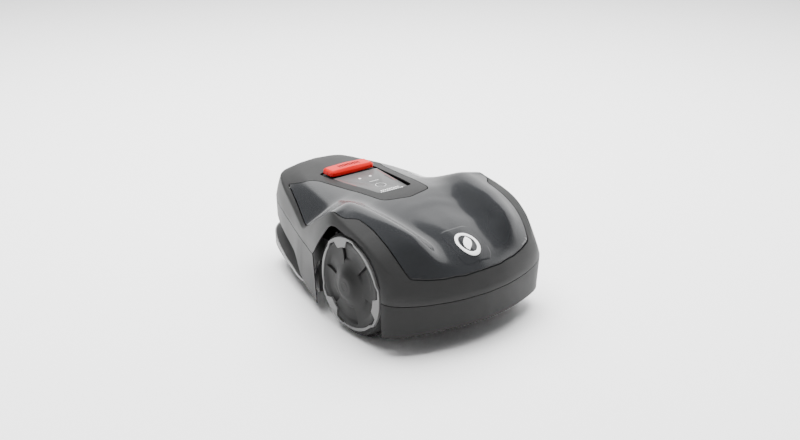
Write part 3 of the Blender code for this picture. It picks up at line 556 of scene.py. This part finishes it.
def make_skirt(name, edge, look, node, chin=None):
    """Skirt hanging from the cover's seam down to its own lower edge."""
    fine = np.linspace(0, len(edge) - 1, 8 * (len(edge) - 1) + 1)
    lows = catmull([low for _, low in edge], fine)
    where = catmull([[place] for place, _ in edge], fine)[:, 0]
    seam = GUIDES[:, 0]
    index = where * STEPS
    k = np.minimum(index.astype(int), len(seam) - 2)
    tops = seam[k] + (seam[k + 1] - seam[k]) * (index - k)[:, None]
    tops = tops - np.array([0, 0, SKIRT_DROP])
    rows = []
    for top, low in zip(tops, lows):
        under = top - np.array(UPRIGHT)
        if chin:
            mid = top + (low - top) * ((top[2] - chin) / (top[2] - low[2]))
            rows.append([top, under] + corner(under, mid, low, 0.10, 0.16, 3) + [low])
        else:
            rows.append([top, under, under + (low - under) * 0.5, low])
    rows = np.array(rows)
    rows[rows[:, :, 0] < 1e-5, 0] = 0
    starts_in_middle = rows[0, 0, 0] == 0
    if starts_in_middle:
        rows = np.concatenate([(rows * MIRROR)[:0:-1], rows])
    else:
        rows = np.concatenate([rows, (rows * MIRROR)[-2::-1]])
    bm = grid_mesh(rows)
    middle = Vector((0, 0.13, 0.07))
    bmesh.ops.recalc_face_normals(bm, faces=bm.faces)
    if sum(f.normal.dot(f.calc_center_median() - middle) for f in bm.faces) < 0:
        bmesh.ops.reverse_faces(bm, faces=bm.faces)
    obj = coated(solidify(from_bmesh(name, bm, recalc=False), SKIRT_WALL), look)
    bake(boolean(obj, ARCHES))
    return done(obj, "cover", look, node, node, angle=30)


# Emblem ---------------------------------------
PAD_RISE = 0.0008          # height of the raised pad above the hood
PAD_HALF = (0.0400, 0.0430)
PAD_CORNER = 0.018
PAD_EDGE = 0.0035          # width of the pad's soft edge
EMBLEM_SCALE = 1.12        # emblem against the badge's CAD box
EMBLEM_SIDE = 0.0021       # heights above the hood of the emblem's side and of its face
EMBLEM_FACE = 0.0026


def pad_rise(x, y):
    """Share of the pad's height at a place measured from the emblem's centre."""
    qx = abs(x) - (PAD_HALF[0] - PAD_CORNER)
    qy = abs(y - 0.004) - (PAD_HALF[1] - PAD_CORNER)
    outside = math.hypot(max(qx, 0), max(qy, 0)) + min(max(qx, qy), 0) - PAD_CORNER
    u = max(0.0, min(1.0, -outside / PAD_EDGE))
    return u * u * (3 - 2 * u)


def make_emblem():
    """Plain oval ring with a leaf inside, on a low raised pad that follows the hood."""
    low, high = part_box("badge")
    centre_y = (low.y + high.y) / 2 - AXLE.y
    ax = (high.x - low.x) / 2 * EMBLEM_SCALE
    ay = (high.y - low.y) / 2 * EMBLEM_SCALE

    def lifted(x, y, lift):
        point, normal = skin_point(x, centre_y + y)
        return point + normal * lift

    n = 96
    xs = [0.042 * (2 * k / n - 1) for k in range(n + 1)]
    ys = [0.050 * (2 * k / n - 1) for k in range(n + 1)]
    bm = bmesh.new()
    verts = [[bm.verts.new(lifted(x, y, PAD_RISE * pad_rise(x, y) - 0.0002)) for y in ys] for x in xs]
    for i in range(n):
        for j in range(n):
            if pad_rise((xs[i] + xs[i + 1]) / 2, (ys[j] + ys[j + 1]) / 2) > 0:
                bm.faces.new((verts[i][j], verts[i + 1][j], verts[i + 1][j + 1], verts[i][j + 1]))
    bmesh.ops.delete(bm, geom=[v for v in bm.verts if not v.link_faces], context="VERTS")
    pad = bake(solidify(from_bmesh("badge_pad", bm), 0.0004))
    done(pad, "cover", LOOKS["gloss"], "hood", angle=50)

    rings = []
    for scale, lift in ((1.0, PAD_RISE), (1.0, EMBLEM_SIDE), (0.96, EMBLEM_FACE), (0.78, EMBLEM_FACE),
                        (0.74, EMBLEM_SIDE), (0.74, PAD_RISE)):
        turns = [2 * math.pi * k / 72 for k in range(72)]
        rings.append([lifted(ax * scale * math.cos(t), ay * scale * math.sin(t), lift) for t in turns])
    bm = grid_mesh(rings, close_rows=True, close_columns=True)
    points = 40
    leaf_rings = []
    for scale, lift in ((1.0, PAD_RISE), (1.0, EMBLEM_SIDE), (0.86, EMBLEM_FACE)):
        ring = []
        for k in range(points):
            u = k / points
            along = 1 - abs(2 * u - 1) * 2
            width = 0.42 * ax * (1 - along * along) * (1 if u < 0.5 else -1)
            ring.append(lifted(width * scale + along * 0.30 * ax * scale, along * 0.56 * ay * scale, lift))
        leaf_rings.append(ring)
    for a, b in zip(leaf_rings, leaf_rings[1:]):
        va = [bm.verts.new(p) for p in a]
        vb = [bm.verts.new(p) for p in b]
        for k in range(points):
            bm.faces.new((va[k], va[(k + 1) % points], vb[(k + 1) % points], vb[k]))
    bm.faces.new([bm.verts.new(p) for p in leaf_rings[0]])
    bm.faces.new([bm.verts.new(p) for p in leaf_rings[-1]])
    bmesh.ops.remove_doubles(bm, verts=bm.verts, dist=1e-6)
    done(from_bmesh("emblem", bm), "cover", LOOKS["badge"], "badge", "badge")


# Chassis --------------------------------------
def tub_lines():
    """TUB_ROWS with its curved nose filled in; the straight stretches keep their corners."""
    rows = np.array(TUB_ROWS)
    nose = rows[TUB_NOSE:]
    places = np.linspace(0, len(nose) - 1, 6 * (len(nose) - 1) + 1)
    lines = np.concatenate([rows[:TUB_NOSE], catmull(nose, places)])
    lines[lines[:, 0] < 1e-5, 0] = 0
    lines[lines[:, 4] < 1e-5, 4] = 0
    return lines


def tub_layers(lines, floor_z, rim_z):
    """Closed rings of the tub's outside, from its floor up to its rim."""
    edge = both_sides(list(zip(lines[:, 0], lines[:, 1])))
    back = both_sides(list(zip(lines[:, 4], lines[:, 5])))

    def level(outline, inset, z):
        return [(x, y, z) for x, y in grown(outline, -inset)]

    def lip(column, inset):
        zs = list(lines[:, column])
        zs += [z for z, x in reversed(list(zip(zs, lines[:, 0]))) if x > 1e-9]
        return [(x, y, z) for (x, y), z in zip(grown(edge, -inset), zs)]

    top = lip(3, 0.0012)
    wall = level(back, 0, WALL_FOOT_Z)
    layers = [level(edge, 0.010, floor_z), level(edge, 0.0075, floor_z + 0.0006), lip(2, 0.0002),
              lip(3, 0.0002), top]
    for rise, sag in ((0.25, 0.62), (0.5, 0.85), (0.75, 0.95)):
        layers.append([(a[0] + (b[0] - a[0]) * sag, a[1] + (b[1] - a[1]) * sag, a[2] + (b[2] - a[2]) * rise)
                       for a, b in zip(top, wall)])
    return layers + [wall, level(back, 0, rim_z)]


def make_tub():
    """Lower chassis with its finger scoops, deck recess and caster pockets."""
    floor_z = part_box("lower_chassis")[0].z
    rim_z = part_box("lower_chassis")[1].z
    lines = tub_lines()
    tub = stacked("chassis_tub", tub_layers(lines, floor_z, rim_z))

    inner = grown(both_sides(list(zip(lines[:, 4], lines[:, 5]))), -0.003)
    cavity = prism("tub_cavity", inner, floor_z + 0.003, rim_z + 0.01)
    keep = [disc_prism("cup", DECK_R + 0.003, floor_z + 0.001, 0.089, 0, DECK_Y, 96)]
    voids = [disc_prism("void", DECK_R, 0.020, 0.086, 0, DECK_Y, 96),
             disc_prism("motor_hole", 0.048, 0.070, 0.110, 0, DECK_Y, 64),
             disc_prism("dial_hole", 0.0175, 0.020, 0.050, 0, 0.270, 48)]
    for side, _ in SIDES:
        x = side * CASTER_X
        keep.append(disc_prism("cup", CASTER_R + 0.0025, floor_z + 0.001, 0.084, x, CASTER_Y, 64))
        voids.append(disc_prism("void", CASTER_R, 0.020, 0.081, x, CASTER_Y, 64))
        voids.append(disc_prism("stem", 0.0058, 0.070, 0.100, x, CASTER_Y, 32))
        voids.append(turned("shaft_hole", [(0, .14), (.0095, .14), (.0095, .16), (0, .16)], (0, 0, TYRE_R),
                            "X", side, 32))
    gap = 0.0004
    low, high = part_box("battery_cover")
    x0, x1 = low.x - gap, high.x + gap
    y0, y1 = low.y - gap - AXLE.y, high.y + gap - AXLE.y
    voids.append(prism("battery_hole", [(x0, y0), (x1, y0), (x1, y1), (x0, y1)], 0.020, 0.050))
    for k in range(1, 5):
        low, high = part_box(f"chassis_screw_{k}")
        x, y = (low.x + high.x) / 2, (low.y + high.y) / 2 - AXLE.y
        voids.append(disc_prism("screw", 0.0042, 0.026, 0.046, x, y, 24))
    boolean(tub, [cavity])
    boolean(tub, keep, "UNION")
    boolean(tub, voids)
    bake(tub)
    drop(cavity, *keep, *voids)
    # The tub takes the dark grey that paints shade into its scoops; the strip made next paints the lit edge
    # of its lip.
    done(tub, "chassis", LOOKS["lip"], "lower_chassis", "lower_chassis", angle=30)
    make_painted_lit_lip_strip(lines)


def make_painted_lit_lip_strip(lines):
    """Strip in a lighter grey along the lip's edge, all round the nose: painted light for the lit edge of
    the lip, set against the tub's painted shade.
    """
    half = lines[lines[:, 1] > 0.131]
    mirrored = half[::-1] * np.array([-1, 1, 1, 1, -1, 1])
    path = np.concatenate([half, mirrored[half[::-1, 0] > 1e-9]])
    tangent = np.gradient(path[:, :2], axis=0)
    normal = np.stack([tangent[:, 1], -tangent[:, 0]], axis=1)
    normal /= np.linalg.norm(normal, axis=1)[:, None]
    if normal[3, 0] < 0:
        normal = -normal
    sections = []
    for row, n in zip(path, normal):
        high = max(row[2] + 0.0037, row[3] + 0.0004)
        low = max(row[2] + 0.0002, high - 0.0075)
        outline = ((-0.002, low), (0.0, low), (0.0001, low + 0.0008), (0.0001, high - 0.0008), (0.0, high),
                   (-0.0034, high + 0.0002), (-0.0034, high - 0.0010))
        sections.append([(row[0] + n[0] * out_by, row[1] + n[1] * out_by, z) for out_by, z in outline])
    done(stacked("painted_lit_lip_strip", sections), "chassis", LOOKS["lit_lip_band"], "lower_chassis", angle=30)


# Console --------------------------------------
PANEL_OUTLINE = [(0, .1135), (.0375, .1155), (.0410, .1190), (.0590, .2560), (0, .2575)]
KEY_Y = 0.163
MARK_Z = (0.00002, 0.00014)   # foot and top of the printed marks above the panel


def bar_mark(bm, z0, x, y, hx, hy, turn=0.0):
    """Thin printed bar, turned about its middle."""
    c, s = math.cos(turn), math.sin(turn)
    ring = [(x + a * c - b * s, y + a * s + b * c) for a, b in ((-hx, -hy), (hx, -hy), (hx, hy), (-hx, hy))]
    low, high = [[bm.verts.new((a, b, z0 + lift)) for a, b in ring] for lift in MARK_Z]
    for k in range(4):
        bm.faces.new((low[k], low[(k + 1) % 4], high[(k + 1) % 4], high[k]))
    bm.faces.new(high)
    bm.faces.new(low[::-1])


def ring_mark(bm, z0, x, y, radius, half_width):
    """Thin printed ring."""
    n = 48
    turns = [2 * math.pi * k / n for k in range(n)]
    foot, top = [z0 + lift for lift in MARK_Z]
    inner, outer = radius - half_width, radius + half_width
    loops = [[bm.verts.new((x + r * math.cos(t), y + r * math.sin(t), z)) for t in turns]
             for r, z in ((inner, foot), (outer, foot), (outer, top), (inner, top))]
    for a, b in zip(loops, loops[1:] + loops[:1]):
        for k in range(n):
            bm.faces.new((a[k], a[(k + 1) % n], b[(k + 1) % n], b[k]))


def make_console():
    """Satin keypad panel with its round key and generic printed marks."""
    panel_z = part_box("keypad_panel")[1].z
    panel = prism("keypad", rounded(both_sides(PANEL_OUTLINE), 0.0015), panel_z - 0.0020, panel_z)
    hole = disc_prism("key_hole", 0.0095, panel_z - 0.01, panel_z + 0.01, 0, KEY_Y, 64)
    boolean(panel, [hole])
    bevel(panel, 0.0004, 2)
    bake(panel)
    drop(hole)
    done(panel, "chassis", LOOKS["panel"], "keypad_panel", "keypad_panel")
    profile = [(0, .2228), (.0090, .2228), (.0090, .2283), (.0086, .2287), (.0074, .2287), (.0070, .2283),
               (.0030, .2280), (0, .2280)]
    key = turned("start_key", profile, (0, KEY_Y, 0), sides=64)
    done(key, "start_key", LOOKS["panel"], "start_button", "start_button")

    white = bmesh.new()
    for row, (count, y) in enumerate(((11, 0.1245), (9, 0.1325))):
        for k in range(count):
            bar_mark(white, panel_z, -0.027 + 0.0055 * (k + row), y, 0.0014, 0.0020)
    ring_mark(white, panel_z, 0, KEY_Y, 0.0112, 0.0004)
    ring_mark(white, panel_z, -0.012, 0.222, 0.0018, 0.0012)
    ring_mark(white, panel_z, 0.016, 0.222, 0.0018, 0.0012)
    bar_mark(white, panel_z, 0.004, 0.192, 0.012, 0.0006)
    done(from_bmesh("keypad_marks", white), "chassis", LOOKS["print"], "keypad_panel")

    (x0, y0), (x1, y1) = PANEL_OUTLINE[2:4]
    slope = math.atan2(y1 - y0, x1 - x0) - math.pi / 2
    red = bmesh.new()
    for side, _ in SIDES:
        bar_mark(red, panel_z, side * 0.0490, 0.2080, 0.0004, 0.042, side * slope)
    done(from_bmesh("keypad_accents", red), "chassis", LOOKS["print_red"], "keypad_panel")

    dark = bmesh.new()
    bar_mark(dark, panel_z, 0.0425, 0.190, 0.0014, 0.018, slope)
    bar_mark(dark, panel_z, 0.022, 0.1245, 0.004, 0.0004)
    bar_mark(dark, panel_z, 0.030, 0.1300, 0.003, 0.0004)
    done(from_bmesh("keypad_dark_marks", dark), "chassis", LOOKS["print_dark"], "keypad_panel")


def make_stop_bar():
    """Red bar with a crowned top, chamfered sides and a row of grip notches."""
    low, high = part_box("stop_button")
    outline = [(0, .2597), (.0530, .2612), (.0573, .2652), (.0573, .2963), (.0533, .2998), (0, .3018)]
    outline = rounded(both_sides(outline), 0.0035, 6)
    centre = Vector((0, 0.2805))
    half_x, half_y = 0.058, 0.0215
    base_z = high.z - 0.0135
    face_z = base_z + 0.0116
    layers = ((0.0000, base_z), (0.0000, base_z + 0.0060), (0.0004, base_z + 0.0072),
              (0.0038, base_z + 0.0108), (0.0050, face_z))
    rings = [[(x, y, z) for x, y in grown(outline, -inset)] for inset, z in layers]

    def crown(x, y, z):
        along = max(0, 1 - (x / half_x) ** 2)
        across = max(0, 1 - ((y - centre.y) / half_y) ** 2)
        return z + along * across * 0.0010 + 0.0009 * along

    rim = rings.pop()
    rings.append([(x, y, crown(x, y, z) - 0.0003) for x, y, z in rim])
    for shrink in (0.85, 0.65, 0.4, 0.15):
        inner = [(x * shrink, centre.y + (y - centre.y) * shrink) for x, y, _ in rim]
        rings.append([(x, y, crown(x, y, face_z)) for x, y in inner])
    bar = coated(stacked("stop_bar_cap", rings), LOOKS["stop"])

    notches = []
    for k in range(9):
        x = -0.026 + 0.0065 * k
        corners = [(x - .0022, .2735), (x + .0022, .2735), (x + .0022, .2865), (x - .0022, .2865)]
        notch = prism("notch", rounded(corners, 0.0021, 4), face_z + 0.0008, face_z + 0.01)
        notches.append(coated(notch, LOOKS["stop_mark"]))
    stems = []
    for side, _ in SIDES:
        stem = disc_prism("stem", 0.0040, low.z, base_z + 0.002, side * 0.035, 0.281, 24)
        stems.append(coated(stem, LOOKS["stop"]))
    boolean(bar, notches)
    boolean(bar, stems, "UNION")
    bake(bar)
    drop(*notches, *stems)
    done(bar, "stop_bar", LOOKS["stop"], "stop_button", "stop_button", angle=28)


# Wheels ---------------------------------------
CAP_PROFILE = [(0.0, .2157), (.0120, .2157), (.0185, .2155), (.0215, .2148), (.0260, .2128),
               (.0320, .2090), (.0390, .2054), (.0460, .2030), (.0560, .2010), (.0650, .2001),
               (.0730, .2003), (.0790, .2016), (.0855, .2028), (.0900, .2020)]
CAP_BACK = 0.1925
GROOVES = 6
GROOVE_TURN = 12           # degrees by which the first groove stands off the wheel's front
GROOVE_MIDDLE = 0.35       # degrees from a wedge's start to the middle of its groove
# Places across one wedge in degrees, close together at the groove
WEDGE_TURNS = (0.0, 0.35, 0.9, 1.6, 2.4, 4, 7, 10, 14, 19, 24, 30, 36, 42, 46, 50, 53, 56, 58, 59, 59.6)


def share(value):
    """Hold a value between 0 and 1."""
    return max(0.0, min(1.0, value))


def pressed(radius, turn):
    """Depth of the grooves, and of the ramp beside each, at a place on the cap."""
    span = 360 / GROOVES
    past = (turn % span) - GROOVE_MIDDLE
    reach = 0.044 if (turn // span) % 2 == 0 else 0.052
    groove = share(1 - abs(past) / 1.6) * 0.0036
    ramp = share(1 - past / 26) * 0.0034 if past > 0 else 0.0
    lift = share(1 - (span - GROOVE_MIDDLE - past) / 16) * 0.0008 if past > span / 2 else 0.0
    return (groove + ramp - lift) * share((radius - reach) / 0.004) * share((0.0800 - radius) / 0.006)


def make_cap(side, tag):
    """Dished hub cap with a plain hub and six radial grooves, each with a ramp beside it."""
    places = np.linspace(0, len(CAP_PROFILE) - 1, 5 * (len(CAP_PROFILE) - 1) + 1)
    turns = [360 / GROOVES * wedge + turn for wedge in range(GROOVES) for turn in WEDGE_TURNS]
    rings = []
    for radius, x in catmull(CAP_PROFILE, places)[1:]:
        radius = abs(radius)
        ring = []
        for turn in turns:
            angle = math.radians(turn + GROOVE_TURN)
            ring.append((side * (x - pressed(radius, turn)), radius * math.cos(angle),
                         TYRE_R + radius * math.sin(angle)))
        rings.append(ring)
    rings.append([(side * CAP_BACK, y, z) for _, y, z in rings[-1]])
    body = "wheel_" + tag
    slot = "wheel_cap_" + tag
    done(stacked("hub_cap_" + tag, rings), body, LOOKS["cap"], slot, slot, angle=22)
    profile = [(.0075, .2150), (.0108, .2150), (.0108, .21572), (.0105, .21598), (.0078, .21598),
               (.0075, .21572)]
    done(turned("hub_mark_" + tag, profile, (0, 0, TYRE_R), "X", side, 64), body, LOOKS["cap"], slot)


def make_ring(side, tag):
    """Light ring with three broad pads and a narrow waved band between them."""
    points = 360
    pads = [math.radians(a) for a in (72, 192, 312)]
    back, shoulder, face = .1960, .2036, .2044
    cut_back = face - shoulder

    def ease(value, low, high):
        u = share((value - low) / (high - low))
        return u * u * (3 - 2 * u)

    rows = []
    for k in range(points):
        turn = 2 * math.pi * k / points
        away = math.degrees(min(abs((turn - pad + math.pi) % (2 * math.pi) - math.pi) for pad in pads))
        outer = 0.0985 - 0.0050 * ease(away, 24, 33)
        wave = 0.0012 * math.cos(math.radians(away * 6)) * ease(away, 15, 24)
        inner = outer - (0.0215 - 0.0155 * ease(away, 9, 15) + wave)
        section = ((inner, back), (inner, shoulder), (inner + cut_back, face), (outer - cut_back, face),
                   (outer, shoulder), (outer, back))
        rows.append([(side * x, radius * math.cos(turn), TYRE_R + radius * math.sin(turn))
                     for radius, x in section])
    bm = grid_mesh(rows, close_rows=True, close_columns=True)
    slot = "wheel_ring_" + tag
    done(from_bmesh("hub_ring_" + tag, bm), "wheel_" + tag, LOOKS["ring"], slot, slot)


TREAD_BLOCKS = 24          # pairs of blocks round the tyre, an inner and an outer one each
BLOCK_PITCH = math.radians(7.5)
BLOCK_HALF = math.radians(2.3)
BLOCK_SKEW = math.radians(2.4)
BLOCK_BEVEL = 0.0007


def tread_block(bm, side, middle, x0, x1):
    """Skewed block standing on the tread, with its top drawn in a little."""
    verts = []
    for radius, bevelled in ((.1040, False), (.1088, False), (.1099, True)):
        inset = BLOCK_BEVEL if bevelled else 0.0
        half = BLOCK_HALF * (0.86 if bevelled else 1)
        for x, turn in ((x0 + inset, -BLOCK_SKEW - half), (x1 - inset, BLOCK_SKEW * 0.4 - half),
                        (x1 - inset, BLOCK_SKEW * 0.4 + half), (x0 + inset, -BLOCK_SKEW + half)):
            y = radius * math.cos(middle + turn) + AXLE.y
            verts.append(bm.verts.new((side * x, y, TYRE_R + radius * math.sin(middle + turn))))
    for level in (0, 4):
        for p in range(4):
            q = (p + 1) % 4
            bm.faces.new([verts[level + k] for k in (p, q, 4 + q, 4 + p)])
    bm.faces.new(verts[8:12])
    bm.faces.new(verts[0:4][::-1])


def make_tyre(side, tag):
    """Rubber tyre with a rounded shoulder and alternating tread blocks."""
    outer = abs(TYRE_LOW.x)
    inner = abs(TYRE_HIGH.x)
    profile = [(.0935, inner), (.1000, inner), (.1035, inner + .0012), (.1052, inner + .0040),
               (.1052, outer - .0120), (.1048, outer - .0080), (.1036, outer - .0040),
               (.1010, outer - .0010), (.0975, outer), (.0935, outer)]
    carcass = turned("tyre_skin_" + tag, profile, (0, 0, TYRE_R), "X", side, 144)
    bm = bmesh.new()
    bm.from_mesh(carcass.data)
    for k in range(TREAD_BLOCKS):
        turn = 2 * math.pi * (k / TREAD_BLOCKS) + BLOCK_PITCH / 2
        tread_block(bm, side, turn - BLOCK_PITCH / 2, inner + .0020, inner + .0190)
        tread_block(bm, side, turn + BLOCK_PITCH / 2, inner + .0150, outer - .0125)
    bmesh.ops.recalc_face_normals(bm, faces=bm.faces)
    bm.to_mesh(carcass.data)
    bm.free()
    done(carcass, "wheel_" + tag, LOOKS["rubber"], "tyre_" + tag, "tyre_" + tag, angle=30)


def make_casters():
    """Rounded caster wheels, as large as their CAD nodes."""
    for _, tag in SIDES:
        low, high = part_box("caster_wheel_" + tag)
        mid = (low + high) / 2
        r = (high.z - low.z) / 2
        half = (high.x - low.x) / 2
        rim = [(r - 0.007, half), (r - 0.0035, half - 0.0008), (r - 0.0012, half - 0.0035)]
        near = [(0.0034, half)] + rim + [(r, 0)]
        profile = [(radius, -x) for radius, x in near[:-1]] + near[::-1]
        centre = (mid.x, mid.y - AXLE.y, mid.z)
        wheel = turned("caster_roller_" + tag, profile, centre, "X", 1, 72)
        slot = "caster_wheel_" + tag
        done(wheel, "caster_roller_" + tag, LOOKS["rubber"], slot, slot)


# Kept CAD nodes -------------------------------
def pair(*names):
    """Each name with its left and its right suffix."""
    return [f"{name}_{tag}" for name in names for _, tag in SIDES]


def numbered(name, count):
    return [f"{name}_{k}" for k in range(1, count + 1)]


KEPT = {
    "dark": ["upper_chassis", "chassis_seal", "console_housing", "stop_switch", "battery_cover",
             "height_carriage", "cutting_disc", "skid_plate"]
            + pair("rear_post", "front_post", "wheel_rim", "caster_fork"),
    "steel": pair("wheel_shaft", "caster_pin") + numbered("battery_cover_screw", 2)
             + numbered("chassis_screw", 4) + numbered("blade", 3) + numbered("blade_screw", 3),
    "brass": pair("charging_contact"),
    "motor": pair("gearmotor") + ["cutting_motor"],
    "blue": ["battery_pack"],
    "board": ["main_board"],
    "orange": ["height_dial"],
}


def dress_nodes():
    """Give every CAD node that stays in the scene its look."""
    for look, names in KEPT.items():
        for name in names:
            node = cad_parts[name]
            if not node.material_slots:
                node.data.materials.append(LOOKS[look])
            for slot in node.material_slots:
                slot.material = LOOKS[look]


# Studio ---------------------------------------
HEADING = math.radians(-38.28)   # way the camera looks, about the vertical
TILT = math.radians(90 - 21.71)


def make_floor():
    """Plain pale paper that reaches far past the picture."""
    half = 14.0
    rows = [[(side * half, y, 0) for y in (-half, 0, half)] for side in (-1, 1)]
    floor = from_bmesh("studio_floor", grid_mesh(rows))
    paper = bpy.data.materials.new("studio_paper")
    paper.use_nodes = True
    shader = paper.node_tree.nodes["Principled BSDF"]
    shader.inputs["Base Color"].default_value = (0.96, 0.96, 0.96, 1)
    shader.inputs["Roughness"].default_value = 0.9
    shader.inputs["Specular IOR Level"].default_value = 0.1
    floor.data.materials.append(paper)


def make_world():
    """Dim surroundings with one bright sheet, low down on the side that the camera looks towards."""
    world = bpy.data.worlds.new("studio")
    world.use_nodes = True
    bpy.context.scene.world = world
    nodes = world.node_tree.nodes
    links = world.node_tree.links
    back = nodes["Background"]
    place = fresh(nodes, "TexCoord")
    turn = fresh(nodes, "Mapping", Rotation=(0, 0, -HEADING))
    links.new(place.outputs["Generated"], turn.inputs["Vector"])
    axes = fresh(nodes, "SeparateXYZ")
    links.new(turn.outputs["Vector"], axes.inputs["Vector"])

    def edge(axis, low, high):
        """0 below low and 1 above high, eased between."""
        span = fresh(nodes, "MapRange", From_Min=low, From_Max=high)
        span.interpolation_type = "SMOOTHSTEP"
        links.new(axes.outputs[axis], span.inputs["Value"])
        return span.outputs["Result"]

    def product(a, b):
        node = fresh(nodes, "Math")
        node.operation = "MULTIPLY"
        links.new(a, node.inputs[0])
        links.new(b, node.inputs[1])
        return node.outputs["Value"]

    def flipped(a):
        node = fresh(nodes, "Math")
        node.operation = "SUBTRACT"
        node.inputs[0].default_value = 1
        links.new(a, node.inputs[1])
        return node.outputs["Value"]

    low_sky = flipped(edge("Z", 0.70, 0.76))
    sheet = product(product(low_sky, edge("Y", 0.10, 0.30)), edge("X", -0.62, -0.45))
    mix = nodes.new("ShaderNodeMix")
    mix.data_type = "RGBA"
    mix.inputs["A"].default_value = (0.22, 0.22, 0.225, 1)
    mix.inputs["B"].default_value = (2.0, 2.0, 2.0, 1)
    links.new(sheet, mix.inputs["Factor"])
    links.new(mix.outputs["Result"], back.inputs["Color"])
    back.inputs["Strength"].default_value = 1.0


def softbox(name, spot, aim, size, power):
    """Area light that lights the scene but is not mirrored in glossy surfaces."""
    data = bpy.data.lights.new(name, "AREA")
    data.shape = "RECTANGLE"
    data.size, data.size_y = size
    data.energy = power
    lamp = bpy.data.objects.new(name, data)
    bpy.context.scene.collection.objects.link(lamp)
    lamp.location = spot
    lamp.rotation_euler = (Vector(aim) - Vector(spot)).to_track_quat("-Z", "Y").to_euler()
    lamp.visible_glossy = False


def make_camera():
    data = bpy.data.cameras.new("camera")
    data.lens = 49.5
    data.sensor_width = 36
    data.clip_start = 0.01
    cam = bpy.data.objects.new("camera", data)
    cam.location = (-1.338, -1.728, 1.028)
    cam.rotation_euler = (TILT, 0, HEADING)
    bpy.context.scene.collection.objects.link(cam)
    bpy.context.scene.camera = cam


make_camera()
make_floor()
make_world()
softbox("top_light", (0.5, 0.8, 3.2), (0, 0, 0), (4.0, 4.0), 600)
softbox("side_light", (-2.6, 0.4, 1.5), (0, 0, 0.1), (1.6, 1.2), 8)
make_cover()
make_skirt("bumper", BUMPER_EDGE, LOOKS["skirt"], "bumper_skirt", CHIN_Z)
make_skirt("side_skirt", NOSE_EDGE, LOOKS["body"], "nose_skirt")
make_emblem()
make_tub()
make_console()
make_stop_bar()
for side, tag in SIDES:
    make_cap(side, tag)
    make_ring(side, tag)
    make_tyre(side, tag)
make_casters()
dress_nodes()
drop(GUIDE, *ARCHES)
